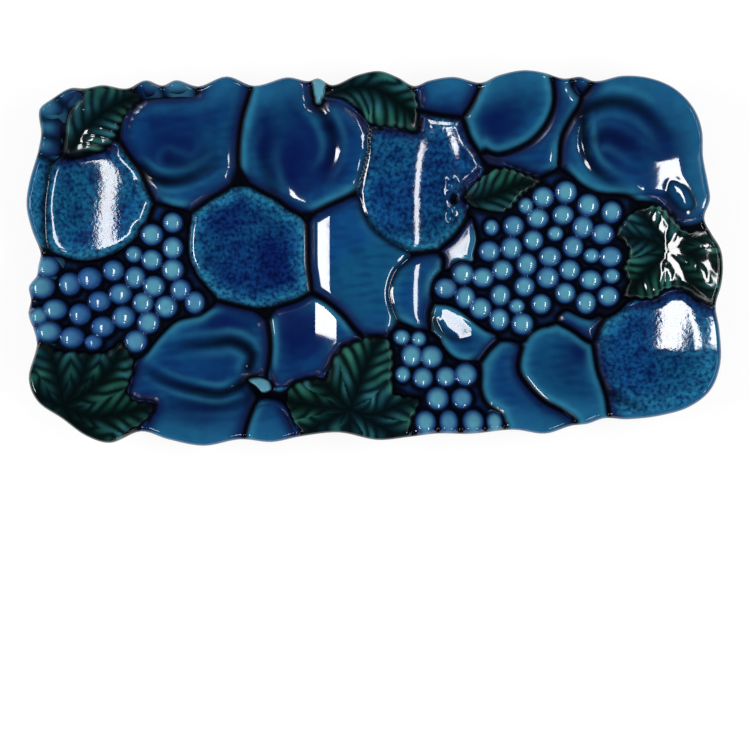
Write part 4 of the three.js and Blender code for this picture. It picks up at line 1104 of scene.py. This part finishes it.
def foot_ring(name):
    """A ring from the floor up to the underside of the dish, where the CAD model has it."""
    low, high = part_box(name)
    middle = np.array([(low[0] + high[0]) / 2, (low[1] + high[1]) / 2]) * 1000
    half = (high[0] - low[0]) * 500
    section = [(0, None), (0, FOOT_BEVEL), (FOOT_ARC, FOOT_ARC), (FOOT_BEVEL, 0)]
    section += [(FOOT_WIDTH - inset, z) for inset, z in reversed(section)]
    loops = []
    for inset, z in section:
        loop = foot_outline(middle, half, inset)
        under = dish_top(loop[:, 0], loop[:, 1]) - WALL - FOOT_GAP
        loops.append(np.column_stack([loop, under if z is None else np.full(len(loop), z)]))
    ring = np.concatenate(loops)
    a = np.arange(len(ring)).reshape(len(loops), -1)
    d = np.roll(a, -1, axis=0)
    b, c = np.roll(a, -1, axis=1), np.roll(d, -1, axis=1)
    faces = np.concatenate([np.stack(corners, axis=-1).reshape(-1, 3) for corners in ((a, d, c), (a, c, b))])
    piece = add_piece(name, ring, faces, None, np.tile(UNDER_GLAZE_AND_SHADE, (len(ring), 1)), smooth_glaze)
    piece.data.materials.append(clay)
    bare = np.array([face.center[2] < BARE_HEIGHT for face in piece.data.polygons])
    piece.data.polygons.foreach_set("material_index", bare.astype(np.int32))


foot_ring("foot_ring_left")
foot_ring("foot_ring_right")

# Pale floor, a little below the feet
WHITE = (1, 1, 1, 1)
PAPER = (0.9, 0.9, 0.9, 1)
PAPER_ROUGHNESS = 0.9
FLOOR_HALF = 4
FLOOR_DROP = 0.0002
FLOOR_GLOW = 0.85  # share of plain white that the camera sees in it
paper, paper_tree, paper_shader = new_material("paper")
set_inputs(paper_tree, paper_shader, {
    "Base Color": PAPER, "Roughness": PAPER_ROUGHNESS, "Specular IOR Level": 0,
})
matt = paper_shader.outputs["BSDF"]
glow = add_node(paper_tree, "Emission", {"Color": WHITE, "Strength": 1}).outputs["Emission"]
seen = add_switch(paper_tree, FLOOR_GLOW, matt, glow)
paper_ray = add_node(paper_tree, "LightPath")
set_inputs(paper_tree, paper_tree.nodes["Material Output"], {
    "Surface": add_switch(paper_tree, paper_ray.outputs["Is Camera Ray"], matt, seen),
})
floor_mesh = bpy.data.meshes.new("floor")
floor_corners = [(FLOOR_HALF * x, FLOOR_HALF * y, 0) for x, y in ((-1, -1), (1, -1), (1, 1), (-1, 1))]
floor_mesh.from_pydata(floor_corners, [], [(0, 1, 2, 3)])
floor_mesh.materials.append(paper)
floor = bpy.data.objects.new("floor", floor_mesh)
floor.location.z = -FLOOR_DROP
bpy.context.scene.collection.objects.link(floor)

# Room: white to the camera, grey to light the object, dark in its reflections
FILL, MIRRORED, BACKDROP = 0.6, 0.02, 1
world = bpy.data.worlds.new("room")
bpy.context.scene.world = world
world.use_nodes = True
room = world.node_tree
backgrounds = [room.nodes["Background"], add_node(room, "Background"), add_node(room, "Background")]
for background, strength in zip(backgrounds, (FILL, MIRRORED, BACKDROP)):
    set_inputs(room, background, {"Color": WHITE, "Strength": strength})
fill, mirrored, backdrop = (background.outputs["Background"] for background in backgrounds)
room_ray = add_node(room, "LightPath")
lighting = add_switch(room, room_ray.outputs["Is Glossy Ray"], fill, mirrored)
set_inputs(room, room.nodes["World Output"], {
    "Surface": add_switch(room, room_ray.outputs["Is Camera Ray"], lighting, backdrop),
})

LAMP_DISTANCE = 1.5


def softbox(name, across, along, width, length, power):
    """A lamp that faces the dish, leaning these angles from straight above; its length runs front to back."""
    lamp = bpy.data.lights.new(name, "AREA")
    lamp.shape = "RECTANGLE"
    lamp.size = width
    lamp.size_y = length
    lamp.energy = power
    holder = bpy.data.objects.new(name, lamp)
    across, along = math.radians(across), math.radians(along)
    way = Vector((math.cos(along) * math.sin(across), math.sin(along), math.cos(along) * math.cos(across)))
    holder.location = LAMP_DISTANCE * way
    holder.rotation_euler = (-along, across, 0)
    bpy.context.scene.collection.objects.link(holder)


softbox("lamp_right", across=33, along=-4.4, width=0.2, length=0.77, power=9.4)
softbox("lamp_left", across=-47, along=-1, width=0.24, length=0.6, power=11)
softbox("lamp_front", across=32, along=-32, width=0.16, length=0.16, power=2)

# Camera straight above, with the dish in the upper half of the picture
camera = bpy.data.cameras.new("camera")
camera.lens = 100
camera.sensor_width = 36
eye = bpy.data.objects.new("camera", camera)
eye.location = (0, -0.052, 0.956)
bpy.context.scene.collection.objects.link(eye)
bpy.context.scene.camera = eye
bpy.context.scene.view_settings.view_transform = "Standard"
